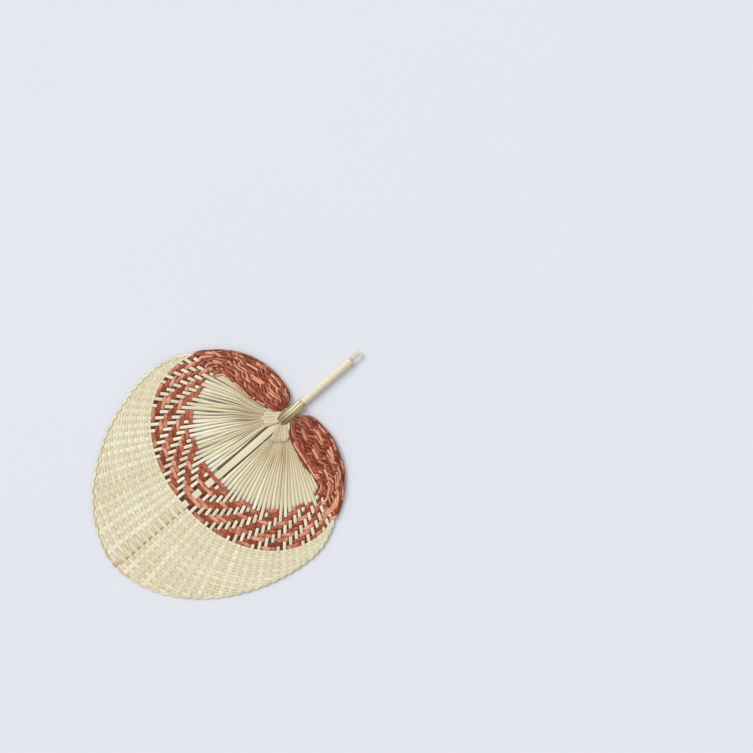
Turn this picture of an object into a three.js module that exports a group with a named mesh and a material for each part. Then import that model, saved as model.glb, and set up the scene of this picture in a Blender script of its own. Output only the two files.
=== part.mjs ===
// A hand-woven palm leaf fan lying face up: tip towards +Y, handle towards -Y, underside on z = 0.
import * as THREE from 'three';

// Driving dimensions, in millimetres and degrees. Lengths along the fan are measured from the throat.
const CLEARANCE = 0.3; // gap between neighbouring pieces
const STRIP_THICKNESS = 0.45; // every leaf strip of the blade

// Outline of the blade
const BLADE_LENGTH = 246;
const BLADE_WIDTH = 269;
const WIDEST_AT = 75;
const SHOULDER_LENGTH = 105; // from the widest place back to where the round of the shoulders would close
const RIM_POWER = 1.87; // 2 is an ellipse, and less is more pointed
const RIM_WIDTH = 2.2;

// Midrib and spokes
const MIDRIB_WIDTH = 8;
const MIDRIB_TIP_WIDTH = 6;
const MIDRIB_MARGIN = 1; // from the midrib to the point from which a side's spokes spread
const BLADE_ANGLE = 75; // how far the spokes spread on each side of the ridge
const SEGMENTS_PER_SIDE = 13;
const SPOKES_PER_SEGMENT = 2;
const MIDRIB_LANE = 0.25; // share of a spoke's own angle that stays free beside the midrib
const SPOKE_FILL = 0.62; // of a spoke's own angle
const SPOKE_START = 20;
const BUTT_LENGTH = 8; // of a segment, before it splits into spokes

// Wefts
const BAND_START = 98; // the dyed band begins this far out on the ridge
const DYED_ROWS = 10;
const DYED_PITCH = 4.62;
const NATURAL_STRIPS = 8;
const ROWS_PER_STRIP = 3; // a natural strip goes out, back and out again
const ROW_GAP = 0.8;
const ROW_NARROWING = 0.5; // how much less of their pitch the natural rows have at the blade's sides
const FIRST_FLOAT = 3; // the first dyed row goes over this many spokes, then under as many
const DYED_FLOAT = 2; // the other dyed rows make a twill
const NATURAL_FLOAT = 1; // the natural rows are a plain weave
const FLOAT_MARGIN = 0.15; // share of the gap beside a spoke over which a weft still keeps its level

// Lobes
const LOBE_DEPTH = 33.8;
const LOBE_LEAD = 10; // how far before the throat the outline of a lobe would begin
const LOBE_SKEW = 0.85; // under 1 brings the deepest place nearer to the throat
const LOBE_FULLNESS = 2.2;
const LOBE_THICKNESS = 7.6;
const LOBE_EDGE = 2; // thickness along the edges of a lobe
const LOBE_RISE = 0.7; // share of the puffing that is above the blade

// Gathered butts of the spokes and the strip that binds them
const BUNDLE_START = 3;
const BUNDLE_THICKNESS = 5;
const BUNDLE_FROM = 8;
const BUNDLE_TO = 66;
const BINDING_START = 11;
const BINDING_TURNS = 3;
const BINDING_WIDTH = 1.2;
const BINDING_GAP = 0.5;
const BINDING_THICKNESS = 0.5;

// Handle
const STALK_DIAMETER = 6.4;
const STALK_LENGTH = 96;
const COLLAR_WIDTH = 14; // at the throat
const COLLAR_BACK_WIDTH = 10.8; // where the winding begins
const COLLAR_WALL = 1.1; // above and below the stalk
const COLLAR_LENGTH = 26;
const COLLAR_ROUNDING = 2.6;
const WRAP_TURNS = 23;
const WRAP_THICKNESS = 0.6;
const WRAP_GAP = 0.5;
const WRAP_INSET = 0.6; // bare end of the stalk

// Hanging loop
const LOOP_LENGTH = 12.2;
const LOOP_OVERHANG = 0.6; // how far the loop stands out past the stalk on each side
const LOOP_THICKNESS = 1.1;
const LOOP_STRIP = 2; // width of the strip that the loop is bent from
const LOOP_GAP = 0.5; // from the loop's ends to the end of the stalk

// Roundness of the curved pieces
const TURN_STEPS = 5;
const WRAP_STEPS = 16;
const RIM_STEPS = 30;
const LOBE_STEPS = 16;
const LOBE_ACROSS = 6;
const BUNDLE_STEPS = 7;
const BINDING_STEPS = 4;
const ROUND_STEPS = 24;
const ANGLE_STEP = 0.25;

const NATURAL = 0xe8debe;
const PALE = 0xf0e8cd;
const OCHRE = 0xc9b27a;
const RUST = 0xa54b37;

// Values that follow from the driving dimensions
const axisHeight = STALK_DIAMETER / 2 + CLEARANCE + COLLAR_WALL;
const focus = MIDRIB_WIDTH / 2 + MIDRIB_MARGIN;
const spokes = SEGMENTS_PER_SIDE * SPOKES_PER_SEGMENT;
const spokeAngle = BLADE_ANGLE / (spokes + MIDRIB_LANE);
const spokeHalf = (spokeAngle * SPOKE_FILL) / 2;
const weftLift = STRIP_THICKNESS + CLEARANCE;
const weaveHalf = weftLift + STRIP_THICKNESS / 2;
const bandEnd = BAND_START + DYED_ROWS * DYED_PITCH;
const rimInset = RIM_WIDTH + CLEARANCE;
const naturalPitch = (BLADE_LENGTH - rimInset - bandEnd) / (NATURAL_STRIPS * ROWS_PER_STRIP);
const sideDraw = 1 - rimRadius(BLADE_ANGLE, rimInset) / bandEnd;
const bladeFall = (axisHeight - weaveHalf) / BLADE_LENGTH;
const bundleEnd = SPOKE_START - CLEARANCE;
const collarFront = BUNDLE_START * cos(BUNDLE_TO) - CLEARANCE;
const collarBack = collarFront - COLLAR_LENGTH;
const loopAxis = -STALK_LENGTH - LOOP_GAP - LOOP_STRIP / 2;

function sin(degrees) {
  return Math.sin(THREE.MathUtils.degToRad(degrees));
}

function cos(degrees) {
  return Math.cos(THREE.MathUtils.degToRad(degrees));
}

// A point of the blade in plan, at an angle from the ridge and a distance from the focus of its side.
function bladePoint(side, angle, radius) {
  return new THREE.Vector2(side * (focus + radius * sin(angle)), radius * cos(angle));
}

// Angle of a spoke from the ridge. Spokes are numbered outwards from 1, and the midrib is 0.
function spokeCentre(number) {
  return number === 0 ? 0 : (number - 0.5 + MIDRIB_LANE) * spokeAngle;
}

// Height of the middle of the blade, which falls evenly from the throat to the tip.
function bladeHeight(point) {
  const across = Math.max(Math.abs(point.x) - focus, 0);
  return axisHeight - bladeFall * Math.hypot(across, point.y);
}

// Under 1 inside the rim, drawn in by an inset.
function rimTest(x, y, inset) {
  const length = y > WIDEST_AT ? BLADE_LENGTH - WIDEST_AT : SHOULDER_LENGTH;
  const across = Math.abs(x) / (BLADE_WIDTH / 2 - inset);
  const along = Math.abs(y - WIDEST_AT) / (length - inset);
  return across ** RIM_POWER + along ** RIM_POWER;
}

function rimRadius(angle, inset) {
  let low = 0;
  let high = BLADE_LENGTH + BLADE_WIDTH;
  for (let i = 0; i < 50; i++) {
    const middle = (low + high) / 2;
    const point = bladePoint(1, angle, middle);
    const inside = rimTest(point.x, point.y, inset) < 1 || point.y < 0;
    low = inside ? middle : low;
    high = inside ? high : middle;
  }
  return low;
}

// Joins rings of equally many points into one closed solid. Its end rings are its caps, unless it is a sleeve, whose
// last ring joins its first.
function loft(rings, isSleeve = false) {
  const sides = rings[0].length;
  const index = [];
  const quad = (a, b, c, d) => index.push(a, b, c, a, c, d);
  for (let i = 0; i < rings.length - (isSleeve ? 0 : 1); i++) {
    const after = (i + 1) % rings.length;
    for (let k = 0; k < sides; k++) {
      const next = (k + 1) % sides;
      quad(i * sides + k, i * sides + next, after * sides + next, after * sides + k);
    }
  }
  const last = (rings.length - 1) * sides;
  for (let k = 1; k + 1 < sides && !isSleeve; k++) {
    index.push(0, k + 1, k);
    index.push(last, last + k, last + k + 1);
  }
  const points = rings.flat();
  let volume = 0;
  for (let i = 0; i < index.length; i += 3) {
    const [a, b, c] = [points[index[i]], points[index[i + 1]], points[index[i + 2]]];
    volume += a.dot(new THREE.Vector3().crossVectors(b, c));
  }
  const geometry = new THREE.BufferGeometry().setFromPoints(points);
  geometry.setIndex(volume > 0 ? index : index.reverse());
  geometry.computeVertexNormals();
  return geometry;
}

// A point at some height over the middle of the blade.
function raised(point, height) {
  return new THREE.Vector3(point.x, point.y, bladeHeight(point) + height);
}

// Cross-section of the folded edge, from one edge point in plan to the other.
function foldRing(from, to, half) {
  return [raised(from, -half), raised(to, -half), raised(to, half), raised(from, half)];
}

// Cross-section of a weft, which is thickest along the vein in its middle.
function weftRing({ from, to, lift }) {
  const half = STRIP_THICKNESS / 2;
  const vein = from.clone().add(to).multiplyScalar(0.5);
  return [raised(from, lift - half), raised(to, lift - half), raised(vein, lift + half)];
}

// Least distance between points of a winding that lie half a turn or more apart along it.
function leastGap(rings, ringsPerTurn) {
  let least = Infinity;
  for (let i = 0; i < rings.length; i++) {
    for (let j = i + Math.ceil(ringsPerTurn / 2); j < rings.length; j++) {
      for (const a of rings[i]) {
        for (const b of rings[j]) {
          least = Math.min(least, a.distanceTo(b));
        }
      }
    }
  }
  return least;
}

function piece(name, geometry, color, roughness = 0.7) {
  const mesh = new THREE.Mesh(geometry, new THREE.MeshStandardMaterial({ color, roughness, metalness: 0 }));
  mesh.name = name;
  return mesh;
}

// Distance of a weft row from the focus. The rows are drawn in towards the ends of the band.
function rowRadius(ridge, angle) {
  const share = angle / BLADE_ANGLE;
  const dyed = Math.min(ridge, bandEnd) * (1 - sideDraw * share ** 4);
  const natural = Math.max(ridge - bandEnd, 0) * (1 - ROW_NARROWING * share);
  return dyed + natural;
}

function rowHalfWidth(row, angle) {
  const outer = rowRadius(row.ridge + row.pitch / 2, angle);
  const inner = rowRadius(row.ridge - row.pitch / 2, angle);
  return (outer - inner - ROW_GAP) / 2;
}

// The angle at which a row meets the rim, or else the end of the band.
function rowEnd(row) {
  let angle = 0;
  while (angle + ANGLE_STEP <= BLADE_ANGLE) {
    const next = angle + ANGLE_STEP;
    if (rowRadius(row.ridge, next) + rowHalfWidth(row, next) > rimRadius(next, rimInset)) {
      break;
    }
    angle = next;
  }
  return angle;
}

function rowAt(number) {
  if (number <= DYED_ROWS) {
    return { number, pitch: DYED_PITCH, ridge: BAND_START + (number - 0.5) * DYED_PITCH };
  }
  const ridge = bandEnd + (number - DYED_ROWS - 0.5) * naturalPitch;
  return { number, pitch: naturalPitch, ridge };
}

// Whether a row goes over a spoke. Both halves of the blade are woven alike.
function goesOver(row, number) {
  if (row.number === 1) {
    return Math.max(number - 1, 0) % (2 * FIRST_FLOAT) < FIRST_FLOAT;
  }
  const float = row.number > DYED_ROWS ? NATURAL_FLOAT : DYED_FLOAT;
  return (row.number + number) % (2 * float) < float;
}

// One section of a row: its inner and outer edge points, and how far it lies over or under the spokes.
function rowSection(row, side, angle, lift) {
  const radius = rowRadius(row.ridge, angle);
  const half = rowHalfWidth(row, angle);
  return {
    from: bladePoint(side, angle, radius - half),
    to: bladePoint(side, angle, radius + half),
    lift,
  };
}

// A row from its left end to its right end. It changes level only between two spokes. A given last lift is that of
// its outermost right float, so that a strip keeps its level through a turn.
function rowSections(row, leftEnd, rightEnd, lastLift) {
  const reach = spokeHalf + FLOAT_MARGIN * (spokeAngle - 2 * spokeHalf);
  const crossings = [];
  for (let number = -spokes; number <= spokes; number++) {
    const angle = spokeCentre(Math.abs(number));
    const end = number < 0 ? leftEnd : rightEnd;
    if (number === 0 || angle - reach + ANGLE_STEP < end) {
      const over = goesOver(row, Math.abs(number));
      crossings.push({ number, angle, lift: over ? weftLift : -weftLift });
    }
  }
  crossings.at(-1).lift = lastLift ?? crossings.at(-1).lift;
  const sections = [rowSection(row, -1, leftEnd, crossings[0].lift)];
  crossings.forEach(({ number, angle, lift }, i) => {
    const side = Math.sign(number);
    const near = number === 0 ? 0 : angle - reach;
    const far = number === 0 ? 0 : angle + reach;
    const before = crossings[i - 1]?.lift ?? lift;
    const after = crossings[i + 1]?.lift ?? lift;
    if (before !== lift || number === 0) {
      sections.push(rowSection(row, side || -1, side > 0 ? near : far, lift));
    }
    if (before === lift && after === lift && number !== 0 && i > 0 && i + 1 < crossings.length) {
      sections.push(rowSection(row, side, angle, lift));
    }
    if (after !== lift || number === 0) {
      sections.push(rowSection(row, side || 1, side < 0 ? near : far, lift));
    }
  });
  sections.push(rowSection(row, 1, rightEnd, crossings.at(-1).lift));
  return sections;
}

// The turn of a strip at the rim, from the end of one row to the end of the next row out. The strip was woven towards
// the right side, 1, or the left, -1.
function turnSections(first, second, side) {
  const start = first.from.clone().add(first.to).multiplyScalar(0.5);
  const end = second.from.clone().add(second.to).multiplyScalar(0.5);
  const centre = start.clone().add(end).multiplyScalar(0.5);
  const outward = end.clone().sub(start).normalize();
  const ahead = new THREE.Vector2(outward.y, -outward.x).multiplyScalar(side);
  const radius = start.distanceTo(end) / 2;
  const half = (side * first.from.distanceTo(first.to)) / 2;
  const sections = [];
  for (let step = 1; step < TURN_STEPS; step++) {
    const share = step / TURN_STEPS;
    const [out, along] = [cos(180 * share), sin(180 * share)];
    const middle = centre.clone().addScaledVector(outward, -radius * out).addScaledVector(ahead, radius * along);
    const across = outward.clone().multiplyScalar(out).addScaledVector(ahead, -along);
    sections.push({
      from: middle.clone().addScaledVector(across, -half),
      to: middle.clone().addScaledVector(across, half),
      lift: first.lift,
    });
  }
  return sections;
}

function weft(sections) {
  return loft(sections.map(weftRing));
}

function dyedWeft(number) {
  const row = rowAt(number);
  const end = rowEnd(row);
  return weft(rowSections(row, end, end));
}

// Where a strip turns, so that its turn stays inside the rim.
function turnAngle(outer) {
  const end = rowEnd(outer);
  const room = outer.pitch / 2 + rowHalfWidth(outer, end);
  return end - THREE.MathUtils.radToDeg(room / rowRadius(outer.ridge, end));
}

// The rows of one natural strip, woven to and fro. The first one goes from the left to the right.
function naturalWeft(first, side) {
  const rows = Array.from({ length: ROWS_PER_STRIP }, (_, k) => rowAt(first + k));
  const turns = rows.slice(1).map(turnAngle);
  const strip = [];
  rows.forEach((row, k) => {
    const ahead = k % 2 ? -1 : 1;
    const start = turns[k - 1] ?? rowEnd(row);
    const end = turns[k] ?? rowEnd(row);
    const line = rowSections(row, end, start, strip.at(-1)?.lift).reverse();
    for (const section of line) {
      section.from.x *= -ahead;
      section.to.x *= -ahead;
    }
    const faced = ahead > 0 ? line : line.map(({ from, to, lift }) => ({ from: to, to: from, lift }));
    if (k > 0) {
      strip.push(...turnSections(strip.at(-1), faced[0], -ahead));
    }
    strip.push(...faced);
  });
  for (const { from, to } of strip) {
    from.x *= side;
    to.x *= side;
  }
  return weft(strip);
}

// Angle of the middle of a segment, between its spokes.
function segmentAngle(number) {
  return (spokeCentre(number * SPOKES_PER_SEGMENT + 1) + spokeCentre((number + 1) * SPOKES_PER_SEGMENT)) / 2;
}

// A leaf segment, flat in its own plane: one butt that splits into two spokes, which end at the rim.
function segmentShape(number, side) {
  const middle = segmentAngle(number);
  const points = [];
  const add = (angle, radius) => {
    points.push(new THREE.Vector2(side * radius * sin(angle), radius * cos(angle)));
  };
  const end = (angle) => rimRadius(middle + angle, rimInset);
  const [near, far] = [spokeAngle / 2 - spokeHalf, spokeAngle / 2 + spokeHalf];
  add(-far, SPOKE_START);
  add(-far, end(-far));
  add(-near, end(-near));
  add(-near, SPOKE_START + BUTT_LENGTH);
  add(near, SPOKE_START + BUTT_LENGTH);
  add(near, end(near));
  add(far, end(far));
  add(far, SPOKE_START);
  return new THREE.Shape(points);
}

function leafSegment(name, number, side) {
  const options = { depth: STRIP_THICKNESS, bevelEnabled: false };
  const mesh = piece(name, new THREE.ExtrudeGeometry(segmentShape(number, side), options), NATURAL);
  mesh.position.z = -STRIP_THICKNESS / 2;
  const slope = new THREE.Group().add(mesh);
  slope.rotation.x = -Math.atan(bladeFall);
  const spread = new THREE.Group().add(slope);
  spread.rotation.z = -side * THREE.MathUtils.degToRad(segmentAngle(number));
  spread.position.set(side * focus, 0, axisHeight);
  return spread;
}

function midrib() {
  const start = collarFront + CLEARANCE;
  const shape = new THREE.Shape([
    new THREE.Vector2(-MIDRIB_WIDTH / 2, start),
    new THREE.Vector2(MIDRIB_WIDTH / 2, start),
    new THREE.Vector2(MIDRIB_TIP_WIDTH / 2, BLADE_LENGTH),
    new THREE.Vector2(-MIDRIB_TIP_WIDTH / 2, BLADE_LENGTH),
  ]);
  const geometry = new THREE.ExtrudeGeometry(shape, { depth: STRIP_THICKNESS, bevelEnabled: false });
  geometry.translate(0, 0, -STRIP_THICKNESS / 2);
  const mesh = piece('midrib', geometry, PALE);
  mesh.position.z = axisHeight;
  mesh.rotation.x = -Math.atan(bladeFall);
  return mesh;
}

// The folded edge of one side, from the end of the band to the midrib's tip.
function rim(side) {
  const tipPoint = (x, inset) => {
    const across = x / (BLADE_WIDTH / 2 - inset);
    const along = (1 - across ** RIM_POWER) ** (1 / RIM_POWER);
    return new THREE.Vector2(side * x, WIDEST_AT + (BLADE_LENGTH - WIDEST_AT - inset) * along);
  };
  const rings = [];
  for (let step = 0; step <= RIM_STEPS; step++) {
    const angle = BLADE_ANGLE * (1 - step / RIM_STEPS);
    const inner = bladePoint(side, angle, rimRadius(angle, RIM_WIDTH));
    const outer = bladePoint(side, angle, rimRadius(angle, 0));
    rings.push(foldRing(inner, outer, weaveHalf));
  }
  const last = MIDRIB_TIP_WIDTH / 2 + CLEARANCE;
  rings.push(foldRing(tipPoint(last, RIM_WIDTH), tipPoint(last, 0), weaveHalf));
  return loft(rings);
}

// A puffed lobe between the end line of the blade, from throat to rim, and a round outer edge.
function lobe(side) {
  const along = new THREE.Vector2(sin(BLADE_ANGLE), cos(BLADE_ANGLE));
  const away = new THREE.Vector2(cos(BLADE_ANGLE), -sin(BLADE_ANGLE));
  const start = (COLLAR_WIDTH / 2 + CLEARANCE - focus) / along.x;
  const whole = rimRadius(BLADE_ANGLE, 0);
  const end = whole - LOBE_EDGE;
  const rings = [];
  for (let step = 0; step <= LOBE_STEPS; step++) {
    const reach = THREE.MathUtils.lerp(start, end, step / LOBE_STEPS);
    const share = ((reach + LOBE_LEAD) / (whole + LOBE_LEAD)) ** LOBE_SKEW;
    const depth = LOBE_DEPTH * (1 - Math.abs(2 * share - 1) ** LOBE_FULLNESS);
    const puff = ((LOBE_THICKNESS - LOBE_EDGE) * depth) / LOBE_DEPTH;
    const upper = [];
    const lower = [];
    for (let k = 0; k <= LOBE_ACROSS; k++) {
      const across = k / LOBE_ACROSS;
      const point = new THREE.Vector2(focus, 0)
        .addScaledVector(along, reach)
        .addScaledVector(away, CLEARANCE + depth * across);
      const swell = puff * sin(180 * across);
      const top = bladeHeight(point) + LOBE_EDGE / 2 + LOBE_RISE * swell;
      upper.push(new THREE.Vector3(side * point.x, point.y, top));
      lower.unshift(new THREE.Vector3(side * point.x, point.y, top - LOBE_EDGE - swell));
    }
    rings.push([...upper, ...lower]);
  }
  return loft(rings);
}

function bundleThickness(radius) {
  const share = (radius - BUNDLE_START) / (bundleEnd - BUNDLE_START);
  return THREE.MathUtils.lerp(BUNDLE_THICKNESS, STRIP_THICKNESS, share);
}

function bundlePoint(side, angle, radius, height) {
  return raised(bladePoint(side, angle, radius), height);
}

// The gathered butts of one side's spokes, thickest at the throat.
function stripBundle(side) {
  const rings = [];
  for (let step = 0; step <= BUNDLE_STEPS; step++) {
    const angle = THREE.MathUtils.lerp(BUNDLE_FROM, BUNDLE_TO, step / BUNDLE_STEPS);
    const [root, edge] = [BUNDLE_THICKNESS / 2, STRIP_THICKNESS / 2];
    rings.push([
      bundlePoint(side, angle, BUNDLE_START, -root),
      bundlePoint(side, angle, bundleEnd, -edge),
      bundlePoint(side, angle, bundleEnd, edge),
      bundlePoint(side, angle, BUNDLE_START, root),
    ]);
  }
  return loft(rings);
}

// A strip wound round a bundle: under it from the ridge side, up round its far edge, and back over it.
function neckBinding(name, side) {
  const pitch = BINDING_WIDTH + BINDING_GAP;
  const perTurn = 2 * (BINDING_STEPS + 1);
  const rings = [];
  for (let i = 0; i <= BINDING_TURNS * perTurn; i++) {
    const step = i % perTurn;
    const over = step > BINDING_STEPS;
    const share = over ? (perTurn - 1 - step) / BINDING_STEPS : step / BINDING_STEPS;
    const angle = THREE.MathUtils.lerp(BUNDLE_FROM, BUNDLE_TO, share);
    const middle = BINDING_START + BINDING_WIDTH / 2 + (pitch * i) / perTurn;
    const edge = share === 0 ? -1 : share === 1 ? 1 : 0;
    const corner = (offset, radius) => {
      const turned = angle + edge * THREE.MathUtils.radToDeg(offset / radius);
      const height = bundleThickness(radius) / 2 + offset;
      return bundlePoint(side, turned, radius, over ? height : -height);
    };
    const [low, high] = [middle - BINDING_WIDTH / 2, middle + BINDING_WIDTH / 2];
    const outside = CLEARANCE + BINDING_THICKNESS;
    rings.push([corner(CLEARANCE, low), corner(CLEARANCE, high), corner(outside, high), corner(outside, low)]);
  }
  console.log(`${name}: least gap between turns ${leastGap(rings, perTurn).toFixed(2)} mm`);
  return loft(rings);
}

function stalk() {
  const length = STALK_LENGTH + collarFront;
  const mesh = piece(
    'handle_core',
    new THREE.CylinderGeometry(STALK_DIAMETER / 2, STALK_DIAMETER / 2, length, ROUND_STEPS),
    OCHRE,
  );
  mesh.position.set(0, collarFront - length / 2, axisHeight);
  return mesh;
}

// A sleeve of folded strips round the stalk, flat above and below, that narrows towards the handle.
function collar() {
  const corners = [[1, -1], [1, 1], [-1, 1], [-1, -1]];
  const perCorner = ROUND_STEPS / corners.length;
  const outside = (width, y) =>
    corners.flatMap(([right, up], corner) =>
      Array.from({ length: perCorner }, (_, i) => {
        const angle = 90 * (corner - 1 + i / (perCorner - 1));
        const x = right * (width / 2 - COLLAR_ROUNDING) + COLLAR_ROUNDING * cos(angle);
        const z = up * (axisHeight - COLLAR_ROUNDING) + COLLAR_ROUNDING * sin(angle);
        return new THREE.Vector3(x, y, axisHeight + z);
      }),
    );
  const radius = STALK_DIAMETER / 2 + CLEARANCE;
  const bore = (y) =>
    Array.from({ length: ROUND_STEPS }, (_, i) => {
      const angle = (360 * (i + 0.5)) / ROUND_STEPS - 90;
      return new THREE.Vector3(radius * cos(angle), y, axisHeight + radius * sin(angle));
    });
  const rings = [
    outside(COLLAR_WIDTH, collarFront),
    outside(COLLAR_BACK_WIDTH, collarBack),
    bore(collarBack),
    bore(collarFront),
  ];
  return loft(rings, true);
}

function handleWrap() {
  const start = collarBack - CLEARANCE;
  const end = WRAP_INSET - STALK_LENGTH;
  const width = (start - end - WRAP_TURNS * WRAP_GAP) / (WRAP_TURNS + 1);
  const pitch = width + WRAP_GAP;
  const inner = STALK_DIAMETER / 2 + CLEARANCE;
  const rings = [];
  for (let i = 0; i <= WRAP_TURNS * WRAP_STEPS; i++) {
    const angle = (360 * i) / WRAP_STEPS;
    const middle = start - width / 2 - (pitch * i) / WRAP_STEPS;
    const corner = (radius, y) => new THREE.Vector3(radius * sin(angle), y, axisHeight + radius * cos(angle));
    rings.push([
      corner(inner, middle - width / 2),
      corner(inner, middle + width / 2),
      corner(inner + WRAP_THICKNESS, middle + width / 2),
      corner(inner + WRAP_THICKNESS, middle - width / 2),
    ]);
  }
  console.log(`handle_wrap: least gap between turns ${leastGap(rings, WRAP_STEPS).toFixed(2)} mm`);
  return loft(rings);
}

// The loop lies flat behind the stalk: a strip bent back on itself, with its two ends at the stalk's sides. Its eye
// takes a nail or a hook.
function hangLoop() {
  const outer = STALK_DIAMETER / 2 + LOOP_OVERHANG;
  const inner = outer - LOOP_THICKNESS;
  const far = outer - LOOP_LENGTH;
  const root = LOOP_STRIP / 2;
  const shape = new THREE.Shape();
  shape.moveTo(-outer, root);
  shape.absarc(0, far, outer, Math.PI, 2 * Math.PI);
  shape.lineTo(outer, root);
  shape.lineTo(inner, root);
  shape.absarc(0, far, inner, 2 * Math.PI, Math.PI, true);
  shape.lineTo(-inner, root);
  const options = { depth: LOOP_STRIP, bevelEnabled: false, curveSegments: ROUND_STEPS / 2 };
  const mesh = piece('hang_loop', new THREE.ExtrudeGeometry(shape, options), NATURAL);
  mesh.position.set(0, loopAxis, axisHeight - LOOP_STRIP / 2);
  return mesh;
}

const fan = new THREE.Group();
fan.name = 'palm_leaf_fan';

const handle = new THREE.Group();
handle.add(
  stalk(),
  piece('handle_wrap', handleWrap(), PALE),
  piece('throat_collar', collar(), OCHRE),
  hangLoop(),
);
fan.add(handle);

const blade = new THREE.Group();
blade.add(midrib());
const numbered = (name, number) => `${name}_${String(number).padStart(2, '0')}`;
for (const [word, side] of [['left', -1], ['right', 1]]) {
  for (let number = 0; number < SEGMENTS_PER_SIDE; number++) {
    blade.add(leafSegment(numbered(`leaf_segment_${word}`, number + 1), number, side));
  }
  const binding = `${word}_neck_binding`;
  blade.add(
    piece(`${word}_strip_bundle`, stripBundle(side), NATURAL),
    piece(binding, neckBinding(binding, side), OCHRE),
    piece(`rim_${word}`, rim(side), PALE),
    piece(`${word}_lobe`, lobe(side), RUST),
  );
}
for (let number = 1; number <= DYED_ROWS; number++) {
  blade.add(piece(numbered('dyed_weft', number), dyedWeft(number), RUST));
}
for (let strip = 0; strip < NATURAL_STRIPS; strip++) {
  const geometry = naturalWeft(DYED_ROWS + 1 + ROWS_PER_STRIP * strip, strip % 2 ? -1 : 1);
  blade.add(piece(numbered('natural_weft', strip + 1), geometry, PALE));
}
fan.add(blade);

// The origin is under the middle of the fan, on the surface that it lies on.
const bounds = new THREE.Box3().setFromObject(fan, true);
const middle = bounds.getCenter(new THREE.Vector3());
fan.position.set(-middle.x, -middle.y, -bounds.min.z);

export default fan;
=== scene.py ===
"""Palm leaf fan: leaf strips woven, plaited and wound round the fan's solid model."""

import math

import bpy
import numpy as np
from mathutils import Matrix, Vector


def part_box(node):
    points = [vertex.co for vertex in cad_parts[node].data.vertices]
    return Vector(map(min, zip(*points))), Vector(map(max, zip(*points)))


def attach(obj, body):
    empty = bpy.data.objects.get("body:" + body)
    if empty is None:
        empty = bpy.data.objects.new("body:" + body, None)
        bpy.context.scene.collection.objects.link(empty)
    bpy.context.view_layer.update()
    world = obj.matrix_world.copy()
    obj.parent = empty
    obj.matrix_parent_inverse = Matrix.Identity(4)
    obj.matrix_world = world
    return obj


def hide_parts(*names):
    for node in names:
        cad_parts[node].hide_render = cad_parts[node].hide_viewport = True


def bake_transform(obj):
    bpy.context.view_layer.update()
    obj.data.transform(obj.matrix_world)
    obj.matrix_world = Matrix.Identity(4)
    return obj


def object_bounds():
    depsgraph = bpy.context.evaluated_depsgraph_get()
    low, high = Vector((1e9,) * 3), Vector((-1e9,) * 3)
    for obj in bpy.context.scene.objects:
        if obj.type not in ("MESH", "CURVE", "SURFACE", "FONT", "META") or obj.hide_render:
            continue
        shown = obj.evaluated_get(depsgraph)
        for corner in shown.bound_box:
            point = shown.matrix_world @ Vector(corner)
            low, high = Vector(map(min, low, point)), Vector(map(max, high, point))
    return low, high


bl_info = {
    "name": "Palm leaf fan",
    "version": (1, 0, 0),
    "blender": (4, 5, 0),
    "location": "3D View > Sidebar > Fan",
    "description": "Weaves, plaits and winds the leaf strips of a palm leaf fan",
    "category": "Object",
}

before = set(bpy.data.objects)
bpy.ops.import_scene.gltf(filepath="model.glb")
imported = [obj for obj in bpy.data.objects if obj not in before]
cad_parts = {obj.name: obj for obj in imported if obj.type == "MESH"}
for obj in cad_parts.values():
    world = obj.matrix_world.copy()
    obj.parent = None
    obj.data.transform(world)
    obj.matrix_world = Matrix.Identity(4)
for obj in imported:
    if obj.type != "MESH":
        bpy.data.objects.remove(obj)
SOLID_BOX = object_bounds()
MM = 0.001
SIDES = {"left": -1, "right": 1}

# The blade's plan, as in the solid model: two foci beside the midrib, with spokes and rows round them
FOCUS = 5 * MM
BUNDLE_START = 3 * MM
BUNDLE_ANGLES = (8, 66)
BLADE_ANGLE = 75
SPOKES = 26
MIDRIB_LANE = 0.25
SPOKE_STEP = BLADE_ANGLE / (SPOKES + MIDRIB_LANE)
WIDEST_AT = 75 * MM
SHOULDER_LENGTH = 105 * MM
RIM_POWER = 1.87
BAND_START = 98 * MM
DYED_ROWS = 10
DYED_PITCH = 4.62 * MM
BAND_END = BAND_START + DYED_ROWS * DYED_PITCH
NATURAL_ROWS = 24
ROWS = range(1, DYED_ROWS + NATURAL_ROWS + 1)
ROW_NARROWING = 0.5
ROWS_INSET = 2.5 * MM
FIRST_FLOAT = 3
DYED_FLOAT = 2
NATURAL_FLOAT = 1
LOBE_DEPTH = 33.8 * MM
LOBE_LEAD = 10 * MM
LOBE_SKEW = 0.85
LOBE_FULLNESS = 2.2
LOBE_PUFF = 5.6 * MM
LOBE_EDGE = 2 * MM
LOBE_ABOVE = 0.7
LOBE_GAP = 0.3 * MM
LOBE_LIFT = 1 * MM

# Places read from the frame
MIDRIB_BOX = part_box("midrib")
COLLAR_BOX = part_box("throat_collar")
STALK_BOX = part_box("handle_core")
WRAP_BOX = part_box("handle_wrap")
LOOP_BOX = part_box("hang_loop")
THROAT = MIDRIB_BOX[0].y - BUNDLE_START * math.cos(math.radians(BUNDLE_ANGLES[1]))
BLADE_LENGTH = MIDRIB_BOX[1].y - THROAT
HALF_BREADTH = SOLID_BOX[1].x
AXIS_HEIGHT = (STALK_BOX[0].z + STALK_BOX[1].z) / 2
TIP_HEIGHT = 0.975 * MM
BLADE_FALL = (AXIS_HEIGHT - TIP_HEIGHT) / BLADE_LENGTH


def distance(name, description, default):
    """Length property, in metres."""
    return bpy.props.FloatProperty(
        name=name, description=description, default=default, unit="LENGTH", subtype="DISTANCE")


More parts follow.
